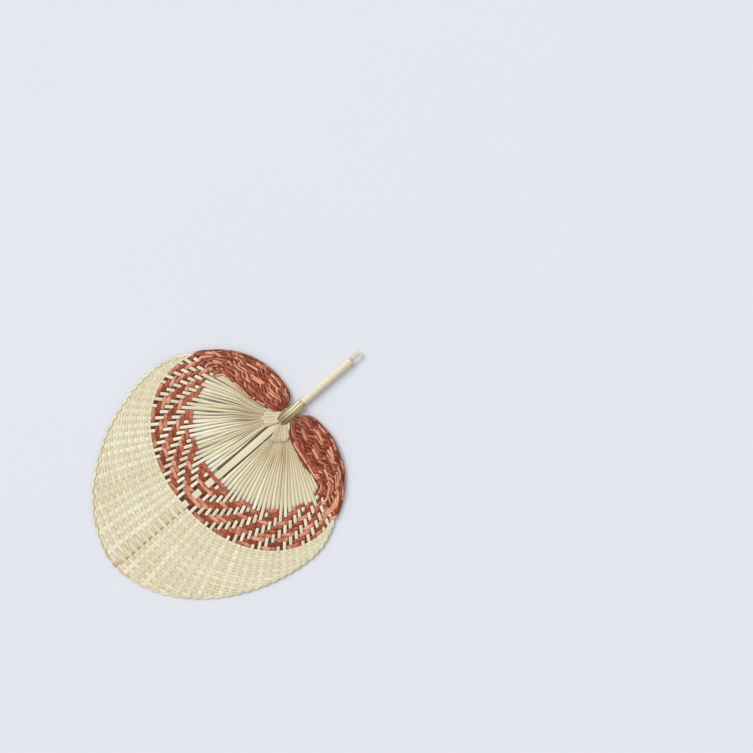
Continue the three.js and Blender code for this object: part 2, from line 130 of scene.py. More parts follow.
class FanSizes(bpy.types.PropertyGroup):
    """Sizes of the leaf strips."""

    strip_thickness: distance("Strip thickness", "Thickness of a dry leaf strip", 0.36 * MM)
    spoke_width: distance("Spoke width", "Width of a spoke where it lies flat in the band", 3.4 * MM)
    spoke_end_width: distance("Spoke end width", "Width of a spoke at the rim", 5.2 * MM)
    pleat_leaf: distance("Pleat leaf", "Width of the leaf that a spoke's pleat is folded from", 5.0 * MM)
    weft_rise: distance("Weft rise", "How far a dyed strip rises and dips at each crossing", 0.42 * MM)
    spoke_rise: distance("Spoke rise", "How far a spoke rises and dips in the band", 0.42 * MM)
    natural_rise: distance("Natural rise", "How far strips rise and dip in the natural weave", 0.24 * MM)
    row_gap: distance("Row gap", "Gap between neighbouring rows of the band", 0.3 * MM)
    natural_gap: distance("Natural gap", "Gap between neighbouring rows of the natural weave", 0.1 * MM)
    lobe_strips: bpy.props.IntProperty(
        name="Lobe strips", description="Strips that run along a lobe's face", default=15, min=2)
    plait_strips: bpy.props.IntProperty(
        name="Plait strips", description="Strips that cross the lobe's long strips", default=25, min=2)
    winding_turns: bpy.props.IntProperty(
        name="Winding turns", description="Turns of the strip round the handle", default=23, min=1)


def colour(name, description, red, green, blue):
    """Colour property given as it looks on the leaf, in 8-bit values."""
    linear = [((c / 255 + 0.055) / 1.055) ** 2.4 for c in (red, green, blue)]
    return bpy.props.FloatVectorProperty(
        name=name, description=description, default=linear, size=3, subtype="COLOR", min=0, max=1)


class FanColours(bpy.types.PropertyGroup):
    """Colours of the leaf and of the table."""

    cream: colour("Cream", "Palest dry leaf", 249, 241, 216)
    straw: colour("Straw", "Dry leaf", 226, 216, 182)
    old_straw: colour("Old straw", "Duller dry leaf", 210, 199, 158)
    shadow: colour("Shadow", "Leaf in a recess of the weave", 98, 80, 50)
    olive: colour("Olive", "Dry leaf that kept some green", 176, 160, 98)
    ochre: colour("Ochre", "Leaf that has aged brown", 188, 146, 94)
    rust: colour("Rust", "Dyed leaf", 177, 87, 57)
    # Light rust is also the colour of the painted glints on dyed strips
    rust_light: colour("Light rust", "Dyed leaf where the dye is thin", 236, 171, 138)
    # Dark rust is also the painted shade at a lobe's head
    rust_dark: colour("Dark rust", "Dyed leaf where the dye is thick", 130, 53, 26)
    # Painted shade of dyed leaf in recesses, and the colour of the lobes' core
    rust_shade: colour("Deep rust", "Dyed leaf in a recess", 84, 33, 12)
    table: colour("Table", "Table top under the fan", 230, 232, 240)


class Value:
    """Output of a node, which takes part in sums and products written as expressions."""

    def __init__(self, graph, socket):
        self.graph = graph
        self.socket = socket

    def math(self, operation, *values):
        return self.graph.node("ShaderNodeMath", {"operation": operation}, dict(enumerate(values)))

    def __add__(self, other):
        return self.math("ADD", self, other)

    def __radd__(self, other):
        return self.math("ADD", other, self)

    def __sub__(self, other):
        return self.math("SUBTRACT", self, other)

    def __rsub__(self, other):
        return self.math("SUBTRACT", other, self)

    def __mul__(self, other):
        return self.math("MULTIPLY", self, other)

    def __rmul__(self, other):
        return self.math("MULTIPLY", other, self)

    def __truediv__(self, other):
        return self.math("DIVIDE", self, other)

    def __rtruediv__(self, other):
        return self.math("DIVIDE", other, self)

    def __neg__(self):
        return self.math("MULTIPLY", self, -1)

    def __abs__(self):
        return self.math("ABSOLUTE", self)


class Graph:
    """A node tree under construction."""

    def __init__(self, tree):
        self.tree = tree
        tree.nodes.clear()

    def node(self, kind, settings=None, sockets=None, output=0):
        """Adds a node with its settings, then the values or links of its sockets."""
        made = self.tree.nodes.new(kind)
        for key, value in (settings or {}).items():
            setattr(made, key, value)
        for key, value in (sockets or {}).items():
            if isinstance(value, Value):
                self.tree.links.new(value.socket, made.inputs[key])
            else:
                made.inputs[key].default_value = value
        return Value(self, made.outputs[output]) if made.outputs else None

    def vector(self, operation, first, second=None, scale=None):
        """Vector maths."""
        sockets = {0: first}
        if second is not None:
            sockets[1] = second
        if scale is not None:
            sockets["Scale"] = scale
        return self.node("ShaderNodeVectorMath", {"operation": operation}, sockets)

    def clamp(self, value, low=0, high=1):
        return self.node("ShaderNodeClamp", None, {"Value": value, "Min": low, "Max": high})

    def step(self, value, low, high):
        """Eases from 0 to 1 while the value goes from low to high."""
        return self.node(
            "ShaderNodeMapRange", {"interpolation_type": "SMOOTHSTEP"},
            {"Value": value, "From Min": low, "From Max": high})

    def blend(self, factor, first, second):
        """Colour between two colours, through the sockets that a Mix node keeps for colours."""
        sockets = {0: factor, 6: opaque(first), 7: opaque(second)}
        return self.node("ShaderNodeMix", {"data_type": "RGBA"}, sockets, output=2)

    def noise(self, place, scale, detail=3, roughness=0.5):
        sockets = {"Vector": place, "Scale": scale, "Detail": detail, "Roughness": roughness}
        return self.node("ShaderNodeTexNoise", None, sockets)

    def bump(self, height, strength, depth):
        """Normal of a surface that the height raises."""
        return self.node("ShaderNodeBump", None, {"Strength": strength, "Distance": depth, "Height": height})

    def place(self, x, y, z):
        return self.node("ShaderNodeCombineXYZ", None, {"X": x, "Y": y, "Z": z})

    def object_place(self):
        """Place on the piece, in Object coordinates."""
        return self.node("ShaderNodeTexCoord", None, None, output=3)

    def attribute(self, name):
        """A strip's own attribute, as a number."""
        return self.node("ShaderNodeAttribute", {"attribute_name": name}, None, output=2)


def opaque(value):
    """A colour property as a socket's four values; a linked value stays as it is."""
    return value if isinstance(value, Value) else (*value, 1)


def finish(name, build):
    """Material whose surface is set up by build, which fills in the shader's sockets."""
    material = bpy.data.materials.get(name)
    if material:
        return material
    material = bpy.data.materials.new(name)
    material.use_nodes = True
    graph = Graph(material.node_tree)
    surface = graph.node("ShaderNodeBsdfPrincipled", None, build(graph))
    graph.node("ShaderNodeOutputMaterial", None, {"Surface": surface})
    return material


# A strip's attributes; under and pleat carry painted shade, and aged carries aged colour and, on the dyed
# lobes, painted shade at the head
LEAF_ATTRIBUTES = ("along", "across", "tone", "under", "aged", "pleat")
SEED_SPREAD = 91
SPECK_SHARE = 0.25
VALLEY_SHARE = 0.62
LEAF_RELIEF = 0.12 * MM
LEAF_GLOSS = 0.35


def leaf_finish(name, tones, age_and_shade_tone, shade_tone, spread, mottle_and_glint, edge_share, under_share, roughness):
    """Dry leaf: fine fibres along the strip, each strip in its own tone, aged colour, and painted shade at
    its edges, in recesses and in the valleys beside a pleat; uneven patches along it, which on the dyed leaf
    stand for painted glints.
    """
    light, mid, dark = tones

    def build(graph):
        along, across, tone, under, aged, pleat = [graph.attribute(key) for key in LEAF_ATTRIBUTES]
        seed = tone * SEED_SPREAD

        def grain(lengthwise, crosswise, detail=2, fineness=0.5):
            place = graph.place(along * lengthwise, across * crosswise + seed, seed)
            return graph.noise(place, 1.0, detail, fineness)

        fibre = grain(22, 5.5, 4, 0.62)
        vein = grain(5, 13)
        patch = grain(34, 0.5)
        speck = grain(420, 1.6)
        # Patches along the strip; on the dyed leaf they are strong enough to stand for painted glints
        blotch_and_glint = grain(140, 0.4)
        uneven = 1.1 * (fibre - 0.5) + 0.6 * spread * (patch - 0.5) + mottle_and_glint * (blotch_and_glint - 0.5)
        level = graph.clamp(0.5 + spread * (tone - 0.5) + uneven)
        base = graph.blend(graph.step(level, 0.35, 1.0), mid, light)
        base = graph.blend(1 - graph.step(level, 0.0, 0.4), base, dark)
        # Aged colour, which on the dyed lobes is painted shade at the head
        base = graph.blend(graph.clamp(aged * (0.45 + 1.1 * patch)), base, age_and_shade_tone)
        base = graph.blend(graph.step(speck, 0.68, 0.78) * SPECK_SHARE, base, dark)
        # Painted shade towards the shade tone: at the strip's edges, where it lies under others, and in the
        # valleys beside a pleat
        edge = graph.step(abs(across), 0.7, 1.0)
        valley = graph.step(abs(across), 0.55, 1.0) * pleat
        recess = graph.clamp(edge * edge_share + under * under_share + valley * VALLEY_SHARE)
        return {
            "Base Color": graph.blend(recess, base, shade_tone),
            "Roughness": graph.clamp(roughness + 0.22 * (fibre - 0.5) + 0.15 * edge),
            "Specular IOR Level": LEAF_GLOSS,
            "Normal": graph.bump(vein * 0.7 + fibre * 0.5, 0.5, LEAF_RELIEF),
        }

    return finish(name, build)


def natural_leaf():
    """Straw-coloured strip of the spokes."""
    c = bpy.context.scene.fan_colours
    return leaf_finish(
        "natural leaf", (c.cream, c.straw, c.old_straw), c.ochre, c.shadow,
        spread=0.7, mottle_and_glint=0.3, edge_share=0.1, under_share=0.22, roughness=0.5)


def pale_leaf():
    """Palest strip, chosen for what shows most."""
    c = bpy.context.scene.fan_colours
    return leaf_finish(
        "pale leaf", (c.cream, c.straw, c.old_straw), c.ochre, c.shadow,
        spread=0.45, mottle_and_glint=0.3, edge_share=0.08, under_share=0.15, roughness=0.48)


def ochre_leaf():
    """Strip that has aged to brown and green."""
    c = bpy.context.scene.fan_colours
    return leaf_finish(
        "ochre leaf", (c.cream, c.straw, c.olive), c.ochre, c.shadow,
        spread=1.0, mottle_and_glint=0.3, edge_share=0.16, under_share=0.25, roughness=0.55)


def dyed_leaf():
    """Rust-dyed strip, where the dye took unevenly; its light patches also stand for painted glints."""
    c = bpy.context.scene.fan_colours
    return leaf_finish(
        "dyed leaf", (c.rust_light, c.rust, c.rust_dark), c.rust_dark, c.rust_shade,
        spread=0.8, mottle_and_glint=1.6, edge_share=0.26, under_share=0.7, roughness=0.42)


def dark_core():
    """Dyed strips packed deep inside a plait, coloured with the painted shade of the dye, which only show as
    dark gaps.
    """
    c = bpy.context.scene.fan_colours

    def build(graph):
        grain = graph.noise(graph.object_place(), 900)
        return {
            "Base Color": graph.blend(grain, c.rust_shade, c.rust_dark),
            "Roughness": 0.6 + 0.3 * grain,
            "Normal": graph.bump(grain, 0.6, 0.3 * MM),
        }

    return finish("dark core", build)


def stalk_finish():
    """Leaf stalk with long fibres."""
    c = bpy.context.scene.fan_colours

    def build(graph):
        stretched = graph.vector("MULTIPLY", graph.object_place(), (1, 0.06, 1))
        fibre = graph.noise(stretched, 1500, 4, 0.6)
        return {
            "Base Color": graph.blend(graph.step(fibre, 0.35, 0.65), c.ochre, c.straw),
            "Roughness": 0.5 + 0.3 * fibre,
            "Normal": graph.bump(fibre, 0.5, 0.2 * MM),
        }

    return finish("leaf stalk", build)


TABLE_CLOUD = (0.6, 0.6, 0.62)


def table_finish():
    """Pale table top."""
    c = bpy.context.scene.fan_colours

    def build(graph):
        cloud = graph.noise(graph.object_place(), 3)
        return {
            "Base Color": graph.blend(0.06 * cloud, c.table, TABLE_CLOUD),
            "Roughness": 0.6 + 0.1 * cloud,
            "Specular IOR Level": 0.2,
        }

    return finish("table", build)


# A strip's section is a circle stretched past its box and cut off there, so it is flat with round corners
STRETCH_ACROSS = 1.2
STRETCH_FACE = 1.45
SHARP_BEND = 0.7
STRIP_INPUTS = {
    "Lines": "Geometry", "Thickness": "Float", "Crown": "Float", "Section Points": "Int", "Leaf": "Material"}
STRIP_ATTRIBUTES = ("up", "half_width", "fold", "pleat", "under", "beneath", "aged", "along", "tone")


def strip_tree():
    """Geometry nodes that sweep a leaf strip along each line, by the line's own attributes."""
    tree = bpy.data.node_groups.get("leaf strip")
    if tree:
        return tree
    tree = bpy.data.node_groups.new("leaf strip", "GeometryNodeTree")
    tree.interface.new_socket("Geometry", in_out="OUTPUT", socket_type="NodeSocketGeometry")
    for name, kind in STRIP_INPUTS.items():
        tree.interface.new_socket(name, in_out="INPUT", socket_type=f"NodeSocket{kind}")
    graph = Graph(tree)
    given = tree.nodes.new("NodeGroupInput").outputs
    lines, thickness, crown, points, leaf = [Value(graph, given[name]) for name in STRIP_INPUTS]

    def named(name, data_type="FLOAT"):
        return graph.node("GeometryNodeInputNamedAttribute", {"data_type": data_type}, {"Name": name})

    def store(geometry, name, value, data_type="FLOAT"):
        settings = {"data_type": data_type, "domain": "POINT"}
        sockets = {"Geometry": geometry, "Name": name, "Value": value}
        return graph.node("GeometryNodeStoreNamedAttribute", settings, sockets)

    def shade(geometry, domain, smooth, selection=True):
        sockets = {"Geometry": geometry, "Selection": selection, "Shade Smooth": smooth}
        return graph.node("GeometryNodeSetShadeSmooth", {"domain": domain}, sockets)

    curve = graph.node("GeometryNodeMeshToCurve", None, {"Mesh": lines})
    tangent = graph.node("GeometryNodeInputTangent")
    side = graph.vector("NORMALIZE", graph.vector("CROSS_PRODUCT", named("up", "FLOAT_VECTOR"), tangent))
    curve = store(curve, "centre", graph.node("GeometryNodeInputPosition"), "FLOAT_VECTOR")
    curve = store(curve, "side", side, "FLOAT_VECTOR")

    section = graph.node("GeometryNodeCurvePrimitiveCircle", None, {"Resolution": points, "Radius": 1})
    circle_x = graph.node("ShaderNodeSeparateXYZ", None, {0: graph.node("GeometryNodeInputPosition")})
    circle_y = Value(graph, circle_x.socket.node.outputs[1])
    section = store(section, "across", graph.clamp(circle_x * STRETCH_ACROSS, -1, 1))
    section = store(section, "face", graph.clamp(circle_y * STRETCH_FACE, -1, 1))

    sockets = {"Curve": curve, "Profile Curve": section, "Scale": MM, "Fill Caps": True}
    swept = graph.node("GeometryNodeCurveToMesh", None, sockets)
    across = named("across")
    lift = named("face") * thickness / 2 + crown * (1 - across * across) + named("fold") * (0.5 - abs(across))
    sideways = graph.vector("SCALE", named("side", "FLOAT_VECTOR"), scale=across * named("half_width"))
    upwards = graph.vector("SCALE", named("up", "FLOAT_VECTOR"), scale=lift)
    place = graph.vector("ADD", named("centre", "FLOAT_VECTOR"), graph.vector("ADD", sideways, upwards))
    shaped = graph.node("GeometryNodeSetPosition", None, {"Geometry": swept, "Position": place})
    # The painted shade of the face (under) or of the back (beneath), by the side that a point is on
    back = graph.clamp(-named("face"))
    shaped = store(shaped, "under", named("under") + back * (named("beneath") - named("under")))
    bend = graph.node("GeometryNodeInputMeshEdgeAngle")
    shaped = shade(shaped, "FACE", True)
    shaped = shade(shaped, "EDGE", False, bend.math("GREATER_THAN", bend, SHARP_BEND))
    for name in ("centre", "side", "face", "up", "half_width", "fold", "beneath"):
        shaped = graph.node("GeometryNodeRemoveAttribute", None, {"Geometry": shaped, "Name": name})
    shaped = graph.node("GeometryNodeRealizeInstances", None, {"Geometry": shaped})
    shaped = graph.node("GeometryNodeSetMaterial", None, {"Geometry": shaped, "Material": leaf})
    graph.node("NodeGroupOutput", None, {0: shaped})
    return tree


class Strips:
    """Leaf strips of one piece, kept as centre lines until they are swept."""

    def __init__(self, seed):
        self.random = np.random.default_rng(seed)
        self.lines = []

    def add(
            self, centre, up, half_width, fold=0.0, under=0.0, aged=0.0, tone=None, valley=1.0, beneath=None):
        """One strip: its centre line, the way its face looks, half its width and the height of its pleat.

        It gets painted shade as a recess on its face (under) and on its back (beneath, which else is the
        same), is coloured by its age and tone (on a lobe, age also carries painted shade at its head), and
        gets painted shade in the valleys beside its pleat.
        """
        centre = np.asarray(centre, float)
        length = np.linalg.norm(np.diff(centre, axis=0), axis=1)
        values = {
            "half_width": half_width,
            "fold": fold,
            "pleat": np.clip(fold / MM, 0, 1) * valley,
            "under": under,
            "beneath": under if beneath is None else beneath,
            "aged": aged,
            "tone": self.random.random() if tone is None else tone,
        }
        line = {key: np.broadcast_to(value, len(centre)) for key, value in values.items()}
        line["position"] = centre
        line["up"] = np.broadcast_to(unit(np.asarray(up, float)), centre.shape)
        line["along"] = np.concatenate([[0], np.cumsum(length)])
        self.lines.append(line)

    def sweep(self, name, leaf, thickness, crown=0.0, section_points=8):
        """Makes the piece: every line becomes a closed strip of leaf."""
        counts = [len(line["position"]) for line in self.lines]
        starts = np.cumsum([0, *counts[:-1]])
        edges = np.concatenate([
            np.column_stack([np.arange(n - 1), np.arange(1, n)]) + s for n, s in zip(counts, starts)])
        mesh = bpy.data.meshes.new(name)
        position = np.concatenate([line["position"] for line in self.lines])
        mesh.from_pydata(position.tolist(), edges.tolist(), [])
        for key in STRIP_ATTRIBUTES:
            values = np.concatenate([line[key] for line in self.lines]).astype(np.float32)
            vector = values.ndim == 2
            attribute = mesh.attributes.new(key, "FLOAT_VECTOR" if vector else "FLOAT", "POINT")
            attribute.data.foreach_set("vector" if vector else "value", values.ravel())
        piece = bpy.data.objects.new(name, mesh)
        bpy.context.scene.collection.objects.link(piece)
        modifier = piece.modifiers.new("leaf strip", "NODES")
        modifier.node_group = strip_tree()
        given = {"Thickness": thickness, "Crown": crown, "Section Points": section_points, "Leaf": leaf}
        for socket in modifier.node_group.interface.items_tree:
            if socket.name in given:
                modifier[socket.identifier] = given[socket.name]
        depsgraph = bpy.context.evaluated_depsgraph_get()
        swept = bpy.data.meshes.new_from_object(piece.evaluated_get(depsgraph), depsgraph=depsgraph)
        piece.modifiers.clear()
        piece.data = swept
        bpy.data.meshes.remove(mesh)
        swept.name = name
        return piece


def place_piece(piece, slot, *nodes):
    """The piece moves with the fan and stands for its solids."""
    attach(piece, "fan")
    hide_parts(*nodes)
    return piece


def unit(vectors):
    """Vectors of the same way and of length 1."""
    return vectors / np.linalg.norm(vectors, axis=-1, keepdims=True)


def mix(ends, share):
    """Value between two ends."""
    first, last = ends
    return first + (last - first) * share


def ease(value):
    """From 0 to 1, level at both ends."""
    t = np.clip(value, 0, 1)
    return t * t * (3 - 2 * t)


def grows(at, begin, length):
    """From 0 at begin to 1 a length further on."""
    return ease((at - begin) / length)


def woven(at, knots, levels, hold=0.2):
    """Level along a strip, which keeps each crossing's level for a while and then eases to the next."""
    knots = np.asarray(knots, float)
    levels = np.asarray(levels, float)
    index = np.clip(np.searchsorted(knots, at) - 1, 0, len(knots) - 2)
    share = (at - knots[index]) / (knots[index + 1] - knots[index])
    return mix((levels[index], levels[index + 1]), grows(share, hold, 1 - 2 * hold))


def between(values, parts):
    """The values with each interval cut into parts."""
    values = np.asarray(values, float)
    steps = np.arange(parts) / parts
    filled = values[:-1, None] + np.diff(values)[:, None] * steps
    return np.append(filled.ravel(), values[-1])


def wander(random, at, size, wave):
    """Slow random drift along a strip, about zero."""
    at = np.asarray(at, float)
    phase = random.uniform(0, 2 * math.pi, 3)
    scale = random.uniform(0.7, 1.4, 3)
    return size * sum(np.sin(at / wave * 2 * math.pi * s + p) for s, p in zip(scale, phase)) / 2


def smoothed(points, rounds):
    """A line with its corners rounded off; its ends stay."""
    for _ in range(rounds):
        middle = (points[:-2] + 2 * points[1:-1] + points[2:]) / 4
        points = np.concatenate([points[:1], middle, points[-1:]])
    return points


def resampled(points, spacing):
    """A line with evenly spaced points."""
    length = np.concatenate([[0], np.cumsum(np.linalg.norm(np.diff(points, axis=0), axis=1))])
    at = np.linspace(0, length[-1], max(int(length[-1] / spacing), 2) + 1)
    return np.column_stack([np.interp(at, length, points[:, i]) for i in range(points.shape[1])])


def spoke_centre(number):
    """Angle of a spoke from the ridge, in degrees; the midrib is number 0."""
    return max(number - MIDRIB_LANE, 0) * SPOKE_STEP


def plan(side, angle, radius):
    """Place of a point on one half of the blade, seen from above."""
    turn = np.radians(angle)
    return side * (FOCUS + radius * np.sin(turn)), THROAT + radius * np.cos(turn)


def blade_height(x, y):
    """Height of the blade's middle layer, which falls from the throat to the rim."""
    return AXIS_HEIGHT - BLADE_FALL * np.hypot(np.maximum(np.abs(x) - FOCUS, 0), y - THROAT)


def on_blade(side, angle, radius, lift=0.0):
    """Points on one half of the blade, lifted off its middle layer."""
    x, y = plan(side, angle, radius)
    return np.column_stack(np.broadcast_arrays(x, y, blade_height(x, y) + lift))


def rim_radius(angle, inset=0.0):
    """How far the rim is from the focus in a direction, with the rim drawn in by inset; found by halving."""
    turn = math.radians(angle)
    low, high = 0.0, BLADE_LENGTH * 1.2
    for _ in range(40):
        middle = (low + high) / 2
        x = FOCUS + middle * math.sin(turn)
        y = middle * math.cos(turn) - WIDEST_AT
        reach = BLADE_LENGTH - WIDEST_AT if y > 0 else SHOULDER_LENGTH
        inside = (x / (HALF_BREADTH - inset)) ** RIM_POWER + (abs(y) / (reach - inset)) ** RIM_POWER < 1
        low, high = (middle, high) if inside else (low, middle)
    return low


RIM_ANGLES = np.linspace(0, BLADE_ANGLE + 2, 309)
RIM_RADII = np.array([rim_radius(angle) for angle in RIM_ANGLES])
SIDE_DRAW = 1 - rim_radius(BLADE_ANGLE, ROWS_INSET) / BAND_END
NATURAL_PITCH = (rim_radius(0, ROWS_INSET) - BAND_END) / NATURAL_ROWS


def rim_at(angle):
    return np.interp(np.abs(angle), RIM_ANGLES, RIM_RADII)


def rim_plan(turn, inset=0.0):
    """Place on the right rim by the turn round its oval, from 0 at the tip; inset draws the rim in."""
    power = 2 / RIM_POWER
    reach = np.where(np.cos(turn) > 0, BLADE_LENGTH - WIDEST_AT, SHOULDER_LENGTH) - inset
    x = (HALF_BREADTH - inset) * np.abs(np.sin(turn)) ** power
    return x, THROAT + WIDEST_AT + reach * np.sign(np.cos(turn)) * np.abs(np.cos(turn)) ** power


def rim_turn(angle):
    """Turn round the oval at which the rim lies in a direction from the focus."""
    turns = np.linspace(0, 0.75 * math.pi, 600)
    x, y = rim_plan(turns)
    return np.interp(angle, np.degrees(np.arctan2(x - FOCUS, y - THROAT)), turns)


def row_ridge(row):
    """Where the middle of a row crosses the ridge."""
    if row <= DYED_ROWS:
        return BAND_START + (row - 0.5) * DYED_PITCH
    return BAND_END + (row - DYED_ROWS - 0.5) * NATURAL_PITCH


def row_radius(ridge, angle):
    """Rows draw together towards the sides of the blade."""
    share = np.abs(angle) / BLADE_ANGLE
    band = np.minimum(ridge, BAND_END) * (1 - SIDE_DRAW * share ** 4)
    return band + np.maximum(ridge - BAND_END, 0) * (1 - ROW_NARROWING * share)


def row_half_width(row, angle):
    """Half the room that a row has between its neighbours."""
    half = (DYED_PITCH if row <= DYED_ROWS else NATURAL_PITCH) / 2
    ridge = row_ridge(row)
    return (row_radius(ridge + half, angle) - row_radius(ridge - half, angle)) / 2


def goes_over(row, number):
    """Whether a row's weft lies over a spoke; both halves are alike."""
    if row == 1:
        return max(number - 1, 0) % (2 * FIRST_FLOAT) < FIRST_FLOAT
    floats = DYED_FLOAT if row <= DYED_ROWS else NATURAL_FLOAT
    return (row + number) % (2 * floats) < floats


# The left half is pinched tight and lies smooth; the right half is drawn together further out and lies looser
GATHER_ANGLES = {-1: BUNDLE_ANGLES, 1: (4, 62)}
GATHER_REACH = {-1: (10 * MM, 16 * MM), 1: (14 * MM, 42 * MM)}
FLAT_FROM = {-1: 85 * MM, 1: 79 * MM}
SPOKE_FILL = {-1: 1.03, 1: 1.06}
SPOKE_SWAY = {-1: 0.1, 1: 0.45}
SPOKE_TWIST = {-1: 4, 1: 16}
# Painted shade in the pleats' valleys (VALLEY_*), past the pinch (PINCH_SHADE) and in the cuff's valleys
# (CUFF_VALLEY)
VALLEY_SHADE_STRENGTH = {-1: 0.5, 1: 1.2}
VALLEY_START = {-1: 0.35, 1: 0.7}
VALLEY_SPREAD = {-1: 0.25, 1: 0.7}
WIDTH_SPREAD = {-1: 0.03, 1: 0.14}
PINCH_SHADE = {-1: 0.9, 1: 0.3}
BUNCHING = {-1: 0.0, 1: 1.0}
CUFF_ANGLES = {-1: (4, 62), 1: (2, 62)}
PINCH_REACH = {-1: (28 * MM, 17 * MM), 1: (22 * MM, 19 * MM)}
CUFF_PLEATS = {-1: 7, 1: 12}
CUFF_UNEVEN = {-1: 0.7 * MM, 1: 2.2 * MM}
CUFF_VALLEY = {-1: 1.0, 1: 2.6}
CUFF_AGE = {-1: 0.34, 1: 0.16}

# A spoke's ends, its pleat and its brown stain
SPOKE_ROOT = 14.5 * MM
SPOKE_SHORT = 1.6 * MM
CROSSING_ROOM = 0.5 * MM
SETTLING = 7 * MM
WIDENING = 10 * MM
FREE_SPACING = 3 * MM
POINTS_BETWEEN = 4
PLEAT_HALF = 2.3 * MM
PLEAT_HEIGHT = 1.15 * MM
PLEAT_STEEPNESS = 0.85
FLATTENING = 12 * MM
STAIN_REACH = 36 * MM
STAIN_LENGTH = 15 * MM
STAIN_ANGLE = 29
STAIN_BREADTH = 24
STAIN_SPREAD = (-6 * MM, 8 * MM)
STAIN_STRENGTH = (0.1, 0.95)
SPOKE_TONES = (0.15, 0.95)

# Drift of a spoke to its sides and about its own line: its size in degrees and its wave
SWAY_WAVE = 90 * MM
ROLL = 2
ROLL_WAVE = 60 * MM

# Stretches of a spoke, each as where it begins and over which length
LOOSE = (45 * MM, 25 * MM)
TIGHT = (88 * MM, 10 * MM)
SWAYING = (25 * MM, 40 * MM)
STEADY = (85 * MM, 15 * MM)
OPENING = (25 * MM, 50 * MM)
UNBUNCHED = (38 * MM, 28 * MM)

# What the pinch and the bunches do to a spoke, with painted shade past the pinch and on the valley spokes of
# a bunch, and how far past the pinch
PINCH_SINK = 0.6 * MM
PINCH_SINK_LENGTH = 8 * MM
PINCH_SHADE_LENGTH = 5 * MM
BUNCH_START = 6 * MM
BUNCH_RISE = 0.3 * MM
BUNCH_SHADE = 1.3
BUNCH_SPOKES = 2.6


def spoke_angle_at(side, number, radius):
    """A spoke's angle from the ridge, where all of them draw together towards the throat."""
    gathered = mix(GATHER_ANGLES[side], (number - 1) / (SPOKES - 1))
    return mix((gathered, spoke_centre(number)), grows(radius, *GATHER_REACH[side]))


def spoke_pleat(side, number, radius):
    """Half width and pleat height of a spoke: folded to a ridge as far as the band and flat in it."""
    sizes = bpy.context.scene.fan_sizes
    span = spoke_angle_at(side, number + 0.5, radius) - spoke_angle_at(side, number - 0.5, radius)
    room = radius * np.radians(span) / 2
    flat = grows(radius, FLAT_FROM[side], FLATTENING)
    half = np.minimum(room * SPOKE_FILL[side], mix((PLEAT_HALF, sizes.spoke_width / 2), flat))
    fold = np.sqrt(np.maximum((sizes.pleat_leaf / 2) ** 2 - half ** 2, 0))
    fold = np.minimum(fold, np.minimum(PLEAT_HEIGHT, half * PLEAT_STEEPNESS))
    return half, fold * (1 - flat)


def pinch_reach(side, angle):
    """How far the gathered strips reach from the focus in a direction."""
    return np.interp(angle, CUFF_ANGLES[side], PINCH_REACH[side])


def spoke_crossings(number, end):
    """Radius and row of each crossing that a spoke has before its end."""
    crossings = [(float(row_radius(row_ridge(row), spoke_centre(number))), row) for row in ROWS]
    return [(radius, row) for radius, row in crossings if radius < end - CROSSING_ROOM]


